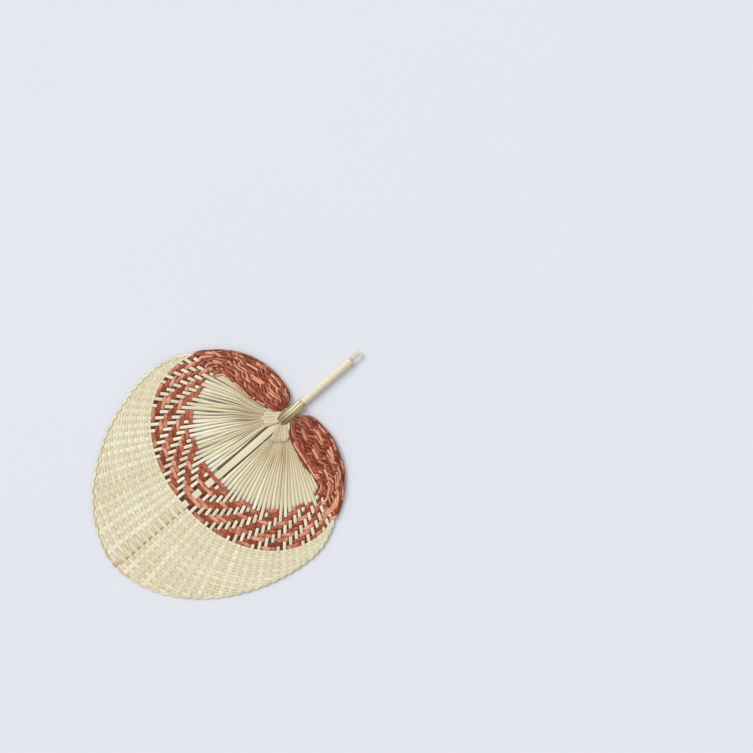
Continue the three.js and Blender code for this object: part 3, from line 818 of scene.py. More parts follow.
def build_spokes(side_name):
    """Spokes of one half, from the pinch through the band and the natural weave to the rim."""
    sizes = bpy.context.scene.fan_sizes
    side = SIDES[side_name]
    strips = Strips(seed=11 + side)
    random = strips.random
    for number in range(1, SPOKES + 1):
        angle = spoke_centre(number)
        end = float(rim_at(angle)) - SPOKE_SHORT
        crossings = spoke_crossings(number, end)
        free_end = crossings[0][0] - SETTLING
        knots = [SPOKE_ROOT, free_end, *[radius for radius, _ in crossings], end + MM]
        levels = [0, 0, *[-1 if goes_over(row, number) else 1 for _, row in crossings], 0]
        free = np.arange(SPOKE_ROOT, free_end, FREE_SPACING)
        radius = np.concatenate([free, between(knots[1:], POINTS_BETWEEN)])
        radius = radius[radius <= end]
        level = woven(radius, knots, levels)

        outside = grows(radius, row_radius(BAND_END, angle), WIDENING)
        loose = grows(radius, *LOOSE) * (1 - grows(radius, *TIGHT))
        half, fold = spoke_pleat(side, number, radius)
        half = half + (sizes.spoke_end_width - sizes.spoke_width) / 2 * outside
        half = half * (1 + loose * WIDTH_SPREAD[side] * random.uniform(-1, 1))
        sway = wander(random, radius, SPOKE_SWAY[side], SWAY_WAVE)
        sway = sway * grows(radius, *SWAYING) * (1 - 0.6 * grows(radius, *STEADY))
        twist = loose * SPOKE_TWIST[side] * random.uniform(-1, 1)
        roll = np.radians(twist + wander(random, radius, ROLL, ROLL_WAVE))
        bearing = spoke_angle_at(side, number, radius) + sway

        pinch = pinch_reach(side, bearing)
        crest = BUNCHING[side] * math.cos(2 * math.pi * number / BUNCH_SPOKES + 0.8 * math.sin(number))
        bunched = grows(radius, pinch, BUNCH_START) * (1 - grows(radius, *UNBUNCHED))
        lift = level * mix((sizes.spoke_rise, sizes.natural_rise), outside)
        sunk = PINCH_SINK * (1 - grows(radius, pinch, PINCH_SINK_LENGTH))
        lift = lift - sunk + BUNCH_RISE * crest * bunched
        centre = on_blade(side, bearing, radius, lift)
        turn = np.radians(bearing)
        up = np.column_stack([
            np.sin(roll) * np.cos(turn), -side * np.sin(roll) * np.sin(turn), np.cos(roll)])

        # Painted shade: where the spoke dips under a row, just past the pinch, and on the valley spokes of a
        # bunch
        dim = PINCH_SHADE[side] * (1 - grows(radius, pinch, PINCH_SHADE_LENGTH))
        dim = dim + BUNCH_SHADE * max(-crest, 0) * bunched
        under, beneath = [np.clip(depth, 0, 1) * (1 - 0.6 * outside) + dim for depth in (-level, level)]
        reach = STAIN_REACH + random.uniform(*STAIN_SPREAD)
        beyond, beside = (radius - reach) / STAIN_LENGTH, (bearing - STAIN_ANGLE) / STAIN_BREADTH
        stain = np.exp(-beyond ** 2 - beside ** 2) * random.uniform(*STAIN_STRENGTH)
        # Crest spokes of a bunch lose part of their stain, so they read lighter: painted light
        stain = stain * (1 - 0.35 * max(crest, 0))
        # Painted shade in the valleys beside the pleat, growing outwards
        deep = VALLEY_SHADE_STRENGTH[side] * (1 + VALLEY_SPREAD[side] * random.uniform(-1, 1))
        valley = deep * mix((VALLEY_START[side], 1), grows(radius, *OPENING))
        tone = random.uniform(*SPOKE_TONES)
        strips.add(centre, up, half, fold, under, stain, tone, valley, beneath)
    piece = strips.sweep(f"{side_name}_spokes", natural_leaf(), sizes.strip_thickness, crown=0.06 * MM)
    nodes = [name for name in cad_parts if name.startswith(f"leaf_segment_{side_name}_")]
    return place_piece(piece, "natural_leaf", *nodes)


# The cuff of gathered strips; the pairs are at its root, from the ridge to the lobe
CUFF_ROOT_X = (0.7 * MM, 6.3 * MM)
CUFF_ROOT_Y = (7 * MM, -2 * MM)
CUFF_ROOT_THICK = (2.9 * MM, 1.9 * MM)
CUFF_THICK = 1.4 * MM
CUFF_LIP = 0.9 * MM
CUFF_OVERLAP = 1.2
CUFF_LAYER = 0.16 * MM
CUFF_FOLD = 0.24 * MM


def cuff_place(side, across, along, face, reach, lift=0.0):
    """Point on the gathered strips, across from ridge to lobe and along from the collar to their end."""
    end_x, end_y = plan(side, mix(CUFF_ANGLES[side], across), reach)
    x = mix((side * mix(CUFF_ROOT_X, across), end_x), along)
    y = mix((THROAT + mix(CUFF_ROOT_Y, across), end_y), along)
    thick = mix((mix(CUFF_ROOT_THICK, across), CUFF_THICK), along) - CUFF_LIP * grows(along, 0.88, 0.12)
    return np.column_stack(np.broadcast_arrays(x, y, blade_height(x, y) + face * (thick + lift)))


def build_bundle(side_name):
    """Butts of one half's spokes, pleated to a cuff in front of the collar."""
    sizes = bpy.context.scene.fan_sizes
    side = SIDES[side_name]
    strips = Strips(seed=21 + side)
    random = strips.random
    pleats = CUFF_PLEATS[side]
    along = np.linspace(0, 1, 16)
    small = 0.01
    for face in (1, -1):
        for number in range(pleats):
            middle = (number + 0.5) / pleats
            reach = pinch_reach(side, mix(CUFF_ANGLES[side], middle))
            reach = reach + random.uniform(-1, 1) * CUFF_UNEVEN[side]
            across = middle + wander(random, along, 0.012, 1.0)
            layer = -CUFF_LAYER * (number % 2)
            centre = cuff_place(side, across, along, face, reach, layer)
            beside = cuff_place(side, across + small, along, face, reach, layer)
            half = np.linalg.norm(beside - centre, axis=1) / small / pleats * CUFF_OVERLAP / 2
            # Painted shade at the cuff's root, by the collar
            root_shade = 0.8 * (1 - ease(along * 5))
            age = CUFF_AGE[side] * random.uniform(0.6, 1.4)
            fold = CUFF_FOLD * ease(along * 2)
            strips.add(
                centre, (0, 0, face), half, fold, under=root_shade, aged=age, valley=CUFF_VALLEY[side])
    name = f"{side_name}_gathered_strips"
    piece = strips.sweep(name, natural_leaf(), sizes.strip_thickness, crown=0.18 * MM)
    return place_piece(piece, "natural_leaf", f"{side_name}_strip_bundle")


NECK_TURNS = 3
NECK_REACH = (0.8, 0.97)
NECK_SINK = 0.45 * MM
NECK_HALF = 0.45 * MM
NECK_SPACING = 0.5 * MM


def build_neck(side_name):
    """Thin strip wound round one half's gathered strips, which shows only at the pinch."""
    side = SIDES[side_name]
    strips = Strips(seed=31 + side)
    lines = []
    stations = np.linspace(0.0, 1.0, 22)
    for step in range(2 * NECK_TURNS):
        face, across = (1, stations) if step % 2 == 0 else (-1, stations[::-1])
        along = mix(NECK_REACH, (step + stations) / (2 * NECK_TURNS))
        reach = pinch_reach(side, mix(CUFF_ANGLES[side], across))
        lines.append(cuff_place(side, across, along, face, reach, -NECK_SINK))
    centre = smoothed(resampled(np.concatenate(lines), NECK_SPACING), 3)
    centre = resampled(centre, NECK_SPACING)
    outward = (centre - centre.mean(axis=0)) * np.array([1, 1, 4])
    # The winding lies in the pinch and carries painted shade, besides its aged colour
    strips.add(centre, outward, NECK_HALF, under=1.5, aged=0.6, tone=0.3)
    piece = strips.sweep(f"{side_name}_neck_winding", ochre_leaf(), thickness=0.36 * MM, crown=0.08 * MM)
    return place_piece(piece, "ochre_leaf", f"{side_name}_neck_binding")


def row_crossings(row, end_angle):
    """Signed angles and levels at which a row of weft meets the spokes and the midrib, from left to right."""
    numbers = [n for n in range(1, SPOKES + 1) if spoke_centre(n) < end_angle]
    angles = [-spoke_centre(n) for n in reversed(numbers)] + [0] + [spoke_centre(n) for n in numbers]
    overs = [goes_over(row, n) for n in [*reversed(numbers), 0, *numbers]]
    return angles, [1 if over else -1 for over in overs]


def across_blade(angle, radius, lift):
    """Points along a row that passes from the left half to the right half over the midrib."""
    angle = np.asarray(angle, float)
    turn = np.radians(np.abs(angle))
    ramp = np.clip(angle / (0.7 * SPOKE_STEP), -1, 1)
    x = ramp * FOCUS + np.sign(angle) * radius * np.sin(turn)
    y = THROAT + radius * np.cos(turn)
    return np.column_stack([x, y, blade_height(x, y) + lift])


ROW_SHORT = 1.8 * MM
ROW_DRIFT = 0.1 * MM
DRIFT_WAVE = 40
ROW_END = 0.01


def row_ends(row):
    """Angle at which a row meets the rim."""
    angles = np.linspace(0, BLADE_ANGLE, 301)
    room = rim_at(angles) - ROW_SHORT - row_radius(row_ridge(row), angles) - 0.4 * row_half_width(row, angles)
    inside = angles[room > 0]
    return float(inside[-1]) if len(inside) else 0.0


def row_strip(strips, row, end_angle, rise, gap, shade, tones):
    """One row of weft from side to side, with painted shade where it dips under a spoke."""
    angles, levels = row_crossings(row, end_angle)
    knots = [-end_angle - ROW_END, *angles, end_angle + ROW_END]
    angle = between(knots, POINTS_BETWEEN)
    level = woven(angle, knots, [0, *levels, 0])
    ridge = row_ridge(row) + wander(strips.random, angle, ROW_DRIFT, DRIFT_WAVE)
    half = row_half_width(row, angle) - gap / 2
    centre = across_blade(angle, row_radius(ridge, angle), level * rise)
    under, beneath = [shade * ease((0.4 - depth) / 1.2) for depth in (level, -level)]
    tone = strips.random.uniform(*tones)
    strips.add(centre, (0, 0, 1), half, under=under, beneath=beneath, tone=tone)


def build_band():
    """Dyed rows of the band, from lobe to lobe."""
    sizes = bpy.context.scene.fan_sizes
    strips = Strips(seed=41)
    for row in ROWS[:DYED_ROWS]:
        end_angle = BLADE_ANGLE - 0.4
        row_strip(strips, row, end_angle, sizes.weft_rise, sizes.row_gap, shade=1.35, tones=(0.05, 0.8))
    piece = strips.sweep("dyed_rows", dyed_leaf(), sizes.strip_thickness, crown=0.12 * MM)
    nodes = [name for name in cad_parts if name.startswith("dyed_weft_")]
    return place_piece(piece, "dyed_leaf", *nodes)


def build_natural_rows():
    """Plain woven rows from the band to the rim."""
    sizes = bpy.context.scene.fan_sizes
    strips = Strips(seed=43)
    for row in ROWS[DYED_ROWS:]:
        end_angle = row_ends(row)
        row_strip(strips, row, end_angle, sizes.natural_rise, sizes.natural_gap, shade=1.0, tones=(0.1, 0.95))
    piece = strips.sweep("natural_rows", pale_leaf(), sizes.strip_thickness, crown=0.1 * MM)
    nodes = [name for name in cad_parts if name.startswith("natural_weft_")]
    return place_piece(piece, "pale_leaf", *nodes)


# The splint on the ridge, with a layer over its root, a dark brown strip of painted shadow at its left edge
# and a backing in painted shadow
SPLINT_SETTLING = 8 * MM
SPLINT_HALF = 4 * MM
SPLINT_TAPER = 0.6 * MM
SPLINT_PRESSED = 0.5 * MM
SPLINT_RISE = 0.2 * MM
TIP_RISE = 0.3 * MM
TIP_LENGTH = 11 * MM
TIP_BEND = 6 * MM
PRESSING = 6 * MM
LAYER_END = 33 * MM
LAYER_SHIFT = 0.2 * MM
LAYER_LIFT = 0.45 * MM
LAYER_INSET = 0.25 * MM
DARK_HALF = 0.6 * MM
DARK_END = 9 * MM
DARK_GAP = 0.5 * MM
DARK_SINK = 0.05 * MM
DARK_WAVE = 21 * MM
DARK_SHADE = 3.1
BACKING_ENDS = (20 * MM, BAND_START - 4 * MM)
BACKING_HALF = 6.3 * MM
BACKING_DEPTH = 1.25 * MM
BACKING_SHADE = 7.0


def build_midrib():
    """Flat splint along the ridge, which the rows cross like a wide spoke."""
    strips = Strips(seed=47)
    start = MIDRIB_BOX[0].y - THROAT
    ridges = [row_ridge(row) for row in ROWS]
    free_end = ridges[0] - SPLINT_SETTLING
    knots = [start, free_end, *ridges, BLADE_LENGTH]
    levels = [0, 0, *[-1 if goes_over(row, 0) and row < ROWS[-1] - 1 else 1 for row in ROWS], 1]
    along = np.concatenate([np.linspace(start, free_end, 24)[:-1], between(knots[1:], POINTS_BETWEEN)])
    level = woven(along, knots, levels)
    natural = grows(along, BAND_END, PRESSING)
    tip = grows(along, BLADE_LENGTH - TIP_LENGTH, TIP_BEND)

    def splint(x, lift, half, under, beneath, aged, keep=slice(None)):
        y = THROAT + along
        values = x, y, blade_height(0, y) + lift, half, under, beneath, aged
        x, y, z, half, under, beneath, aged = [np.broadcast_to(value, along.shape)[keep] for value in values]
        centre = np.column_stack([x, y, z])
        strips.add(centre, (0, 0, 1), half, under=under, beneath=beneath, aged=aged, tone=0.6)

    rise = level * SPLINT_RISE + tip * TIP_RISE
    half = SPLINT_HALF - SPLINT_TAPER * along / BLADE_LENGTH - SPLINT_PRESSED * natural
    worn = 0.45 * tip + 0.4 * natural * (1 - 0.5 * tip)
    # The splint has painted shade where it dips under a row
    splint(0, rise, half, np.clip(-level, 0, 1), np.clip(level, 0, 1), worn)
    splint(LAYER_SHIFT, rise + LAYER_LIFT, half - LAYER_INSET, 0, 0, 0.1, along < LAYER_END)
    beside = (along > BAND_END) & (along < BLADE_LENGTH - DARK_END)
    shade = DARK_SHADE + wander(strips.random, along, 1.0, DARK_WAVE)
    splint(-half - DARK_GAP, rise - DARK_SINK, DARK_HALF, shade, shade, 1.0, beside)
    inside = (along > BACKING_ENDS[0]) & (along < BACKING_ENDS[1])
    splint(0, -BACKING_DEPTH, BACKING_HALF, BACKING_SHADE, 0.0, 0.2, inside)
    piece = strips.sweep(
        "ridge_splint", pale_leaf(), thickness=0.5 * MM, crown=0.2 * MM, section_points=12)
    return place_piece(piece, "pale_leaf", "midrib")


# The folded edge; the pairs are from where a spoke's end is bent over to where it ends under the next
RIM_FIRST_TURN = 0.022
RIM_LEAN = math.radians(14)
LINING_INSET = 2.4 * MM
LINING_SINK = 0.2 * MM
LINING_HALF = 1.6 * MM
FOLD_INSETS = (1.1 * MM, 2.2 * MM)
FOLD_BOW = 0.9 * MM
FOLD_LIFTS = (0.95 * MM, -0.15 * MM)
FOLD_HALVES = (1.25 * MM, 0.95 * MM)


def build_rim(side_name):
    """Edge of one half: each spoke's end is bent along the rim and lies over the start of the next."""
    side = SIDES[side_name]
    strips = Strips(seed=53 + side)
    last_turn = float(rim_turn(BLADE_ANGLE - 0.3))

    def edge(turn, inset, lift):
        x, y = rim_plan(turn, inset)
        return np.column_stack([side * x, y, blade_height(x, y) + lift])

    # The lining under the folds, and each fold towards its end under the next, carry painted shade
    lining = edge(np.linspace(RIM_FIRST_TURN, last_turn, 160), LINING_INSET, -LINING_SINK)
    strips.add(lining, (0, 0, 1), LINING_HALF, under=0.4)
    share = np.linspace(0, 1, 18)
    inset = mix(FOLD_INSETS, share ** 1.5) + FOLD_BOW * np.cos(2 * math.pi * share)
    lift = mix(FOLD_LIFTS, ease(share))
    half = mix(FOLD_HALVES, share)
    for number in range(1, SPOKES + 1):
        angle = spoke_centre(number)
        begin = min(float(rim_turn(angle + 0.5 * SPOKE_STEP)), last_turn)
        end = max(float(rim_turn(angle - SPOKE_STEP)), RIM_FIRST_TURN)
        turn = mix((begin, end), share)
        centre = edge(turn, inset, lift)
        outward = unit(centre - edge(turn, inset + MM, lift))
        up = outward * math.sin(RIM_LEAN) + np.array([0, 0, math.cos(RIM_LEAN)])
        brown = 0.4 if number == 1 else 0.0
        strips.add(centre, up, half, under=0.4 * share, aged=brown)
    piece = strips.sweep(f"{side_name}_folded_edge", pale_leaf(), thickness=0.5 * MM, crown=0.12 * MM)
    return place_piece(piece, "pale_leaf", f"rim_{side_name}")


# A lobe by its reach from the focus along the band's end, and by how far it lies away from that end
LOBE_OUT = rim_radius(BLADE_ANGLE)
LOBE_END = LOBE_OUT - 5 * MM
LOBE_HEAD = 0.4 * MM
STRIPS_END = LOBE_HEAD + 1.2 * MM
BAND_INNER = row_radius(BAND_START, BLADE_ANGLE)
HEAD_AWAY = 12.5 * MM
HEAD_SPREAD = 2.5 * MM
HEAD_MIDDLE = 6 * MM
HEAD_LENGTH = 9 * MM
HEAD_CLOSING = 3 * MM
LOBE_SPREAD = {-1: 3 * MM, 1: 1.5 * MM}
SPREAD_LENGTH = 10 * MM
OVERLAP = {-1: 8.2 * MM, 1: 5 * MM}
OVERLAP_END = 85 * MM
OVERLAP_PEAK = 0.3
OVERLAP_LIFT = 1.1 * MM
OVERLAP_EDGE = 2 * MM
OVERLAP_SLOPE = 3 * MM
OVERLAP_FADING = 12 * MM
PUFF_ROUNDNESS = 0.7
STRIP_SHARES = (0.02, 0.97)
BACK_CLEAR = 0.6 * MM

# The lobe's strips: rise and sink at a crossing, chance of a fault in the plait, tones of the dye, shifted
# darker on the left lobe and lighter on the right one, which faces the light, partly as painted light, and
# painted shade at the head
PLAIT_RISE = 0.7 * MM
PLAIT_SINK = 0.4 * MM
PLAIT_FAULTS = 0.12
PLAIT_INSIDE = 0.3
LOBE_TONES = np.array([-0.1, 0.1, 0.3, 0.45, 0.6, 0.85, 1.1])
LOBE_TONE_AND_LIGHT = {-1: -0.1, 1: 0.05}
HEAD_SHADE_STRENGTH = 0.75
HEAD_SHADE_LENGTH = {-1: 34 * MM, 1: 18 * MM}

# Course of the long strips, from the angle in the band where they start to where they are tucked in
SWAY_LENGTH = 40 * MM
BAND_LAP = (71, 73.5)
LONG_DRIFT = 0.7 * MM
LONG_WAVE = 30 * MM
LONG_HALVES = (0.8 * MM, 1.5 * MM)
START_SINK = 0.7 * MM
TUCK_DROP = 1.5 * MM

# The strips that cross the long ones, the strip along the outside, and the core
CROSSER_SPAN = (-16 * MM, LOBE_OUT + 12 * MM)
CROSSER_UNEVEN = 1.2 * MM
CROSSER_SLANTS = (40 * MM, 56 * MM)
CROSSER_HALVES = (1.0 * MM, 1.35 * MM)
CROSSER_END = LOBE_OUT - 3 * MM
EDGE_HALF = 1.35 * MM
EDGE_INSET = 1.5 * MM
EDGE_RUNOUT = (LOBE_OUT - 17 * MM, 12 * MM)
CORE_HEAD = LOBE_HEAD + 2.5 * MM
CORE_DEPTH = 0.85 * MM
CORE_THINNEST = 0.2 * MM


def lobe_inlet(reach):
    """Share of the dyed strips that have not yet turned into the lobe at a distance from the focus."""
    return np.clip((reach - BAND_INNER) / (LOBE_OUT - BAND_INNER), 0, 0.999)


def lobe_outer(side, reach):
    """Outer edge of the lobe beyond the band's end, at a reach from the focus; it closes at the head."""
    share = np.clip((reach + LOBE_LEAD) / (LOBE_OUT + LOBE_LEAD), 0, 1) ** LOBE_SKEW
    depth = LOBE_GAP + LOBE_DEPTH * (1 - np.abs(2 * share - 1) ** LOBE_FULLNESS)
    depth = depth + LOBE_SPREAD[side] * ease((LOBE_OUT - reach) / SPREAD_LENGTH)
    depth = depth + HEAD_SPREAD * np.exp(-((reach - HEAD_MIDDLE) / HEAD_LENGTH) ** 2)
    closing = np.clip((reach - LOBE_HEAD) / HEAD_CLOSING, 0, 1) ** 0.4
    return mix((HEAD_AWAY, depth), closing)


def lobe_inner(side, reach):
    """Inner edge of the lobe, which lies over the spokes near the throat and so is mostly negative."""
    share = np.clip(reach / OVERLAP_END, 0, 1)
    peak = share / OVERLAP_PEAK
    over = OVERLAP[side] * peak ** 1.5 * np.exp(1 - peak) * (1 - share ** 2)
    closing = np.clip((reach - LOBE_HEAD) / HEAD_LENGTH, 0, 1) ** 0.25
    return mix((HEAD_AWAY, -over), closing)


def lobe_place(side, reach, away, face=1, lift=0.0):
    """Point on the lobe's upper (face 1) or lower (face -1) surface."""
    turn = math.radians(BLADE_ANGLE)
    x = side * (FOCUS + reach * math.sin(turn) + away * math.cos(turn))
    y = THROAT + reach * math.cos(turn) - away * math.sin(turn)
    inner, outer = lobe_inner(side, reach), lobe_outer(side, reach)
    room = np.maximum(outer - inner, MM)
    across = np.clip((away - inner) / room, 0, 1)
    nose = np.sqrt(1 - (1 - np.clip((reach - LOBE_HEAD) / HEAD_LENGTH, 0, 1)) ** 2)
    fullness = np.minimum(room / LOBE_DEPTH, 1) ** PUFF_ROUNDNESS
    puff = LOBE_PUFF * nose * fullness * np.sin(math.pi * across) ** PUFF_ROUNDNESS
    over = ease((OVERLAP_EDGE - away) / OVERLAP_SLOPE) * ease((OVERLAP_END - reach) / OVERLAP_FADING)
    height = blade_height(x, y) + LOBE_LIFT
    if face > 0:
        height = height + OVERLAP_LIFT * over + LOBE_ABOVE * puff + lift
    else:
        height = height - LOBE_EDGE - (1 - LOBE_ABOVE) * puff - lift
    return np.column_stack(np.broadcast_arrays(x, y, height))


def lobe_facing(side, reach, away, face):
    """The way the lobe's strips look: as its surface does, but leaned upwards (face 1) or downwards."""
    small = 0.4 * MM
    further = lobe_place(side, reach + small, away, face) - lobe_place(side, reach - small, away, face)
    outward = lobe_place(side, reach, away + small, face) - lobe_place(side, reach, away - small, face)
    normal = unit(np.cross(further, outward))
    normal = normal * np.where(normal[:, 2:] * face > 0, 1, -1)
    return normal + np.array([0, 0, 0.5 * face])


def lobe_away(side, label, reach, face):
    """How far out a strip lies in the lobe; its label goes from 0 for the band's inmost strip to 1."""
    inlet = lobe_inlet(reach)
    share = mix(STRIP_SHARES, np.clip((label - inlet) / (1 - inlet), 0, 1))
    inner = lobe_inner(side, reach)
    inner = inner if face > 0 else np.maximum(inner, BACK_CLEAR)
    return inner + share * np.maximum(lobe_outer(side, reach) - inner, 0)


def plait_pattern(random, labels, crossers):
    """Which long strips of a lobe lie over which crossing ones; on the inside they run over most of them."""
    number = np.arange(len(labels))[:, None]
    crosser = np.arange(crossers)[None, :]
    inside = labels[:, None] < PLAIT_INSIDE
    over = np.where(inside, (number + 2 * crosser) % 5 < 4, (number + crosser) % 4 < 2)
    return np.where(random.random(over.shape) < PLAIT_FAULTS, ~over, over)


class LobePlait:
    """Strips of one lobe: long ones from the band to the throat, and others that cross them at a slant."""

    def __init__(self, side, long_strips, crossers):
        self.side = side
        self.strips = Strips(seed=61 + side)
        self.random = self.strips.random
        self.labels = (np.arange(long_strips) + 0.5) / long_strips
        uneven = self.random.uniform(-CROSSER_UNEVEN, CROSSER_UNEVEN, crossers)
        self.starts = np.linspace(*CROSSER_SPAN, crossers) + uneven
        self.slants = self.random.uniform(*CROSSER_SLANTS, crossers)
        self.over = plait_pattern(self.random, self.labels, crossers)
        self.tones = LOBE_TONES + LOBE_TONE_AND_LIGHT[side]

    def lay(self, reach, away, face, level, sway):
        """Centre line on the lobe's face, raised by its level, and the way it looks, which sways a little."""
        facing = lobe_facing(self.side, reach, away, face)
        lift = (level * PLAIT_RISE - PLAIT_SINK)[:, None]
        centre = lobe_place(self.side, reach, away, face) + np.array([0, 0, face]) * lift
        sidewise = unit(np.cross(facing, np.gradient(centre, axis=0)))
        return centre, facing + sidewise * wander(self.random, reach, sway, SWAY_LENGTH)[:, None]

    def head_shade(self, reach):
        """Painted shade at the lobe's head, which fades along the lobe."""
        return HEAD_SHADE_STRENGTH * (1 - grows(reach, LOBE_HEAD, HEAD_SHADE_LENGTH[self.side]))

    def long_route(self, label, face):
        """Course of a long strip: on top out of its row of the band, then along the lobe to its head."""
        begin = BAND_INNER + label * (LOBE_OUT - BAND_INNER)
        reach = np.linspace(begin if face > 0 else min(begin, LOBE_END), STRIPS_END, 140)
        away = lobe_away(self.side, label, reach, face)
        if face > 0:
            angle = np.linspace(self.random.uniform(*BAND_LAP), BLADE_ANGLE, 16)[:-1]
            radius = row_radius(BAND_START + label * (BAND_END - BAND_START), angle)
            slope = np.radians(BLADE_ANGLE - angle)
            reach = np.concatenate([radius * np.cos(slope), reach])
            away = np.concatenate([-radius * np.sin(slope), away])
        away = away + wander(self.random, reach, LONG_DRIFT, LONG_WAVE)
        route = smoothed(resampled(np.column_stack([reach, away]), MM), 12)
        return resampled(route, MM).T

    def long_strip(self, number, face):
        """Strip along the lobe, which starts under the band's rows and is tucked in at the head."""
        label = self.labels[number]
        reach, away = self.long_route(label, face)
        meets = self.starts + self.slants * (label - 0.5)
        order = np.argsort(meets)
        levels = np.where(self.over[number, order], 1, -1)
        level = woven(reach, [-1, *meets[order], 1], [0, *levels, 0])
        breadth = lobe_outer(self.side, reach) - lobe_inner(self.side, reach)
        room = breadth / (len(self.labels) * (1 - lobe_inlet(reach)))
        half = np.clip(room * 0.46, *LONG_HALVES) * self.random.uniform(0.85, 1.1)
        centre, up = self.lay(reach, away, face, level, 0.45)
        if face > 0:
            centre[:, 2] -= START_SINK * np.clip(1 - np.arange(len(reach)) / 6, 0, 1)
        ahead = centre[-1:] - centre[-2:-1]
        tucked = centre[-1:] + ahead * 0.5 + np.array([0, 0, -face * TUCK_DROP])
        tucked_up = up[-1:] + ahead / MM * 2
        # Painted shade where it dips under a crossing strip and at the head, darkest at its tucked end
        self.strips.add(
            np.concatenate([centre, tucked]), np.concatenate([up, tucked_up]), np.append(half, half[-1]),
            under=np.append(np.clip(-level, 0, 1), 0.6), aged=np.append(self.head_shade(reach), 1),
            tone=self.random.choice(self.tones))

    def crossing_strip(self, number, face):
        """Strip across the long ones, as far as the lobe reaches there."""
        label = np.linspace(0.02, 0.965, 42)
        reach = self.starts[number] + self.slants[number] * (label - 0.5)
        keep = (reach > STRIPS_END) & (reach < CROSSER_END)
        keep &= label > lobe_inlet(np.clip(reach, STRIPS_END, None)) + 0.03
        label, reach = label[keep], reach[keep]
        if len(label) < 6:
            return
        levels = np.where(self.over[:, number], -1, 1)
        levels[-1] = -1
        level = woven(label, [-0.2, *self.labels, 1.2], [0, *levels, -1])
        centre, up = self.lay(reach, lobe_away(self.side, label, reach, face), face, level, 0.2)
        half = self.random.uniform(*CROSSER_HALVES)
        tone = self.random.choice(self.tones[1:])
        # Painted shade where it dips under a long strip and at the head
        self.strips.add(
            centre, up, half, under=np.clip(-level, 0, 1), aged=self.head_shade(reach), tone=tone)

    def edge_strip(self):
        """Strip on edge along the lobe's outside, over the ends of the others."""
        reach = np.linspace(LOBE_END, STRIPS_END, 160)
        outmost = lobe_outer(self.side, reach) - EDGE_INSET * grows(reach, *EDGE_RUNOUT)
        top, low = [lobe_place(self.side, reach, outmost, face) for face in (1, -1)]
        edge = resampled(smoothed((top + low) / 2, 4), MM)
        outward = np.cross(np.gradient(edge, axis=0), (0, 0, 1)) * self.side
        taper = mix((0.3, 1), ease(np.linspace(0, 8, len(edge))))
        # The edge strip carries a little painted shade
        self.strips.add(edge, outward, EDGE_HALF * taper, under=0.3, tone=0.3)


def build_lobe(side_name):
    """Lobe of one half: dyed strips that turn back at the band's end and are plaited towards the throat."""
    sizes = bpy.context.scene.fan_sizes
    build_lobe_core(side_name)
    plait = LobePlait(SIDES[side_name], sizes.lobe_strips, sizes.plait_strips)
    for face in (1, -1):
        for number in range(sizes.lobe_strips):
            plait.long_strip(number, face)
        for number in range(sizes.plait_strips):
            plait.crossing_strip(number, face)
    plait.edge_strip()
    name = f"{side_name}_lobe_plait"
    piece = plait.strips.sweep(name, dyed_leaf(), sizes.strip_thickness, crown=0.14 * MM)
    return place_piece(piece, "dyed_leaf", f"{side_name}_lobe")


def build_lobe_core(side_name):
    """Closed body in the painted shade of the dye inside a lobe, just under its strips and clear of the
    spokes.
    """
    side = SIDES[side_name]
    share = np.linspace(0.06, 0.94, 16)
    rings = []
    for reach in np.linspace(CORE_HEAD, LOBE_END, 70):
        at = np.full_like(share, reach)
        away = mix((lobe_inner(side, at), lobe_outer(side, at)), share)
        top = lobe_place(side, at, away, 1, -CORE_DEPTH)
        low = lobe_place(side, at, away, -1, -CORE_DEPTH)
        clear = blade_height(low[:, 0], low[:, 1]) + OVERLAP_LIFT
        low[:, 2] = mix((clear, low[:, 2]), ease(away / OVERLAP_SLOPE))
        low[:, 2] = np.minimum(low[:, 2], top[:, 2] - CORE_THINNEST)
        rings.append(np.concatenate([top, low[::-1]]))
    piece = solid_piece(f"{side_name}_lobe_core", *tube(rings), dark_core())
    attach(piece, "fan")
    return piece


def tube(rings):
    """Points and faces of a closed body made of rings with the same number of points."""
    count, last = len(rings[0]), len(rings) - 1
    faces = [tuple(range(count)), tuple(reversed(range(last * count, (last + 1) * count)))]
    for i in range(last):
        for j in range(count):
            a, b = i * count + j, i * count + (j + 1) % count
            faces.append((a, a + count, b + count, b))
    return np.concatenate(rings), faces


def solid_piece(name, points, faces, material):
    """Piece from points and faces, with its faces turned outwards and smooth."""
    mesh = bpy.data.meshes.new(name)
    mesh.from_pydata([tuple(p) for p in points], [], faces)
    corner = np.array([v.co for v in mesh.vertices])
    volume = sum(
        np.dot(corner[p.vertices[0]], np.cross(corner[p.vertices[k]], corner[p.vertices[k + 1]]))
        for p in mesh.polygons for k in range(1, len(p.vertices) - 1))
    if volume < 0:
        mesh.flip_normals()
    mesh.shade_smooth()
    mesh.materials.append(material)
    piece = bpy.data.objects.new(name, mesh)
    bpy.context.scene.collection.objects.link(piece)
    return piece


# The collar, from its front end at the throat to its back end at the winding
COLLAR_ENDS = (COLLAR_BOX[1].y, COLLAR_BOX[0].y)
COLLAR_HALVES = (6.9 * MM, 5.4 * MM)
COLLAR_SQUARENESS = 4
COLLAR_STRIPS = 20
COLLAR_TONES = (0.75, 0.95, 0.4, 0.1, 0.2, 0.3, 0.1, 0.2, 0.35, 0.05)
LOWER_TONE = 0.1
COLLAR_INSETS = (0.5 * MM, 0.9 * MM)
COLLAR_STRIP_HALVES = (1.3 * MM, 1.0 * MM)
COLLAR_LEAN = 0.55
COLLAR_BOW = 0.3
BODY_INSET = 1.0 * MM
BODY_POINTS = 40

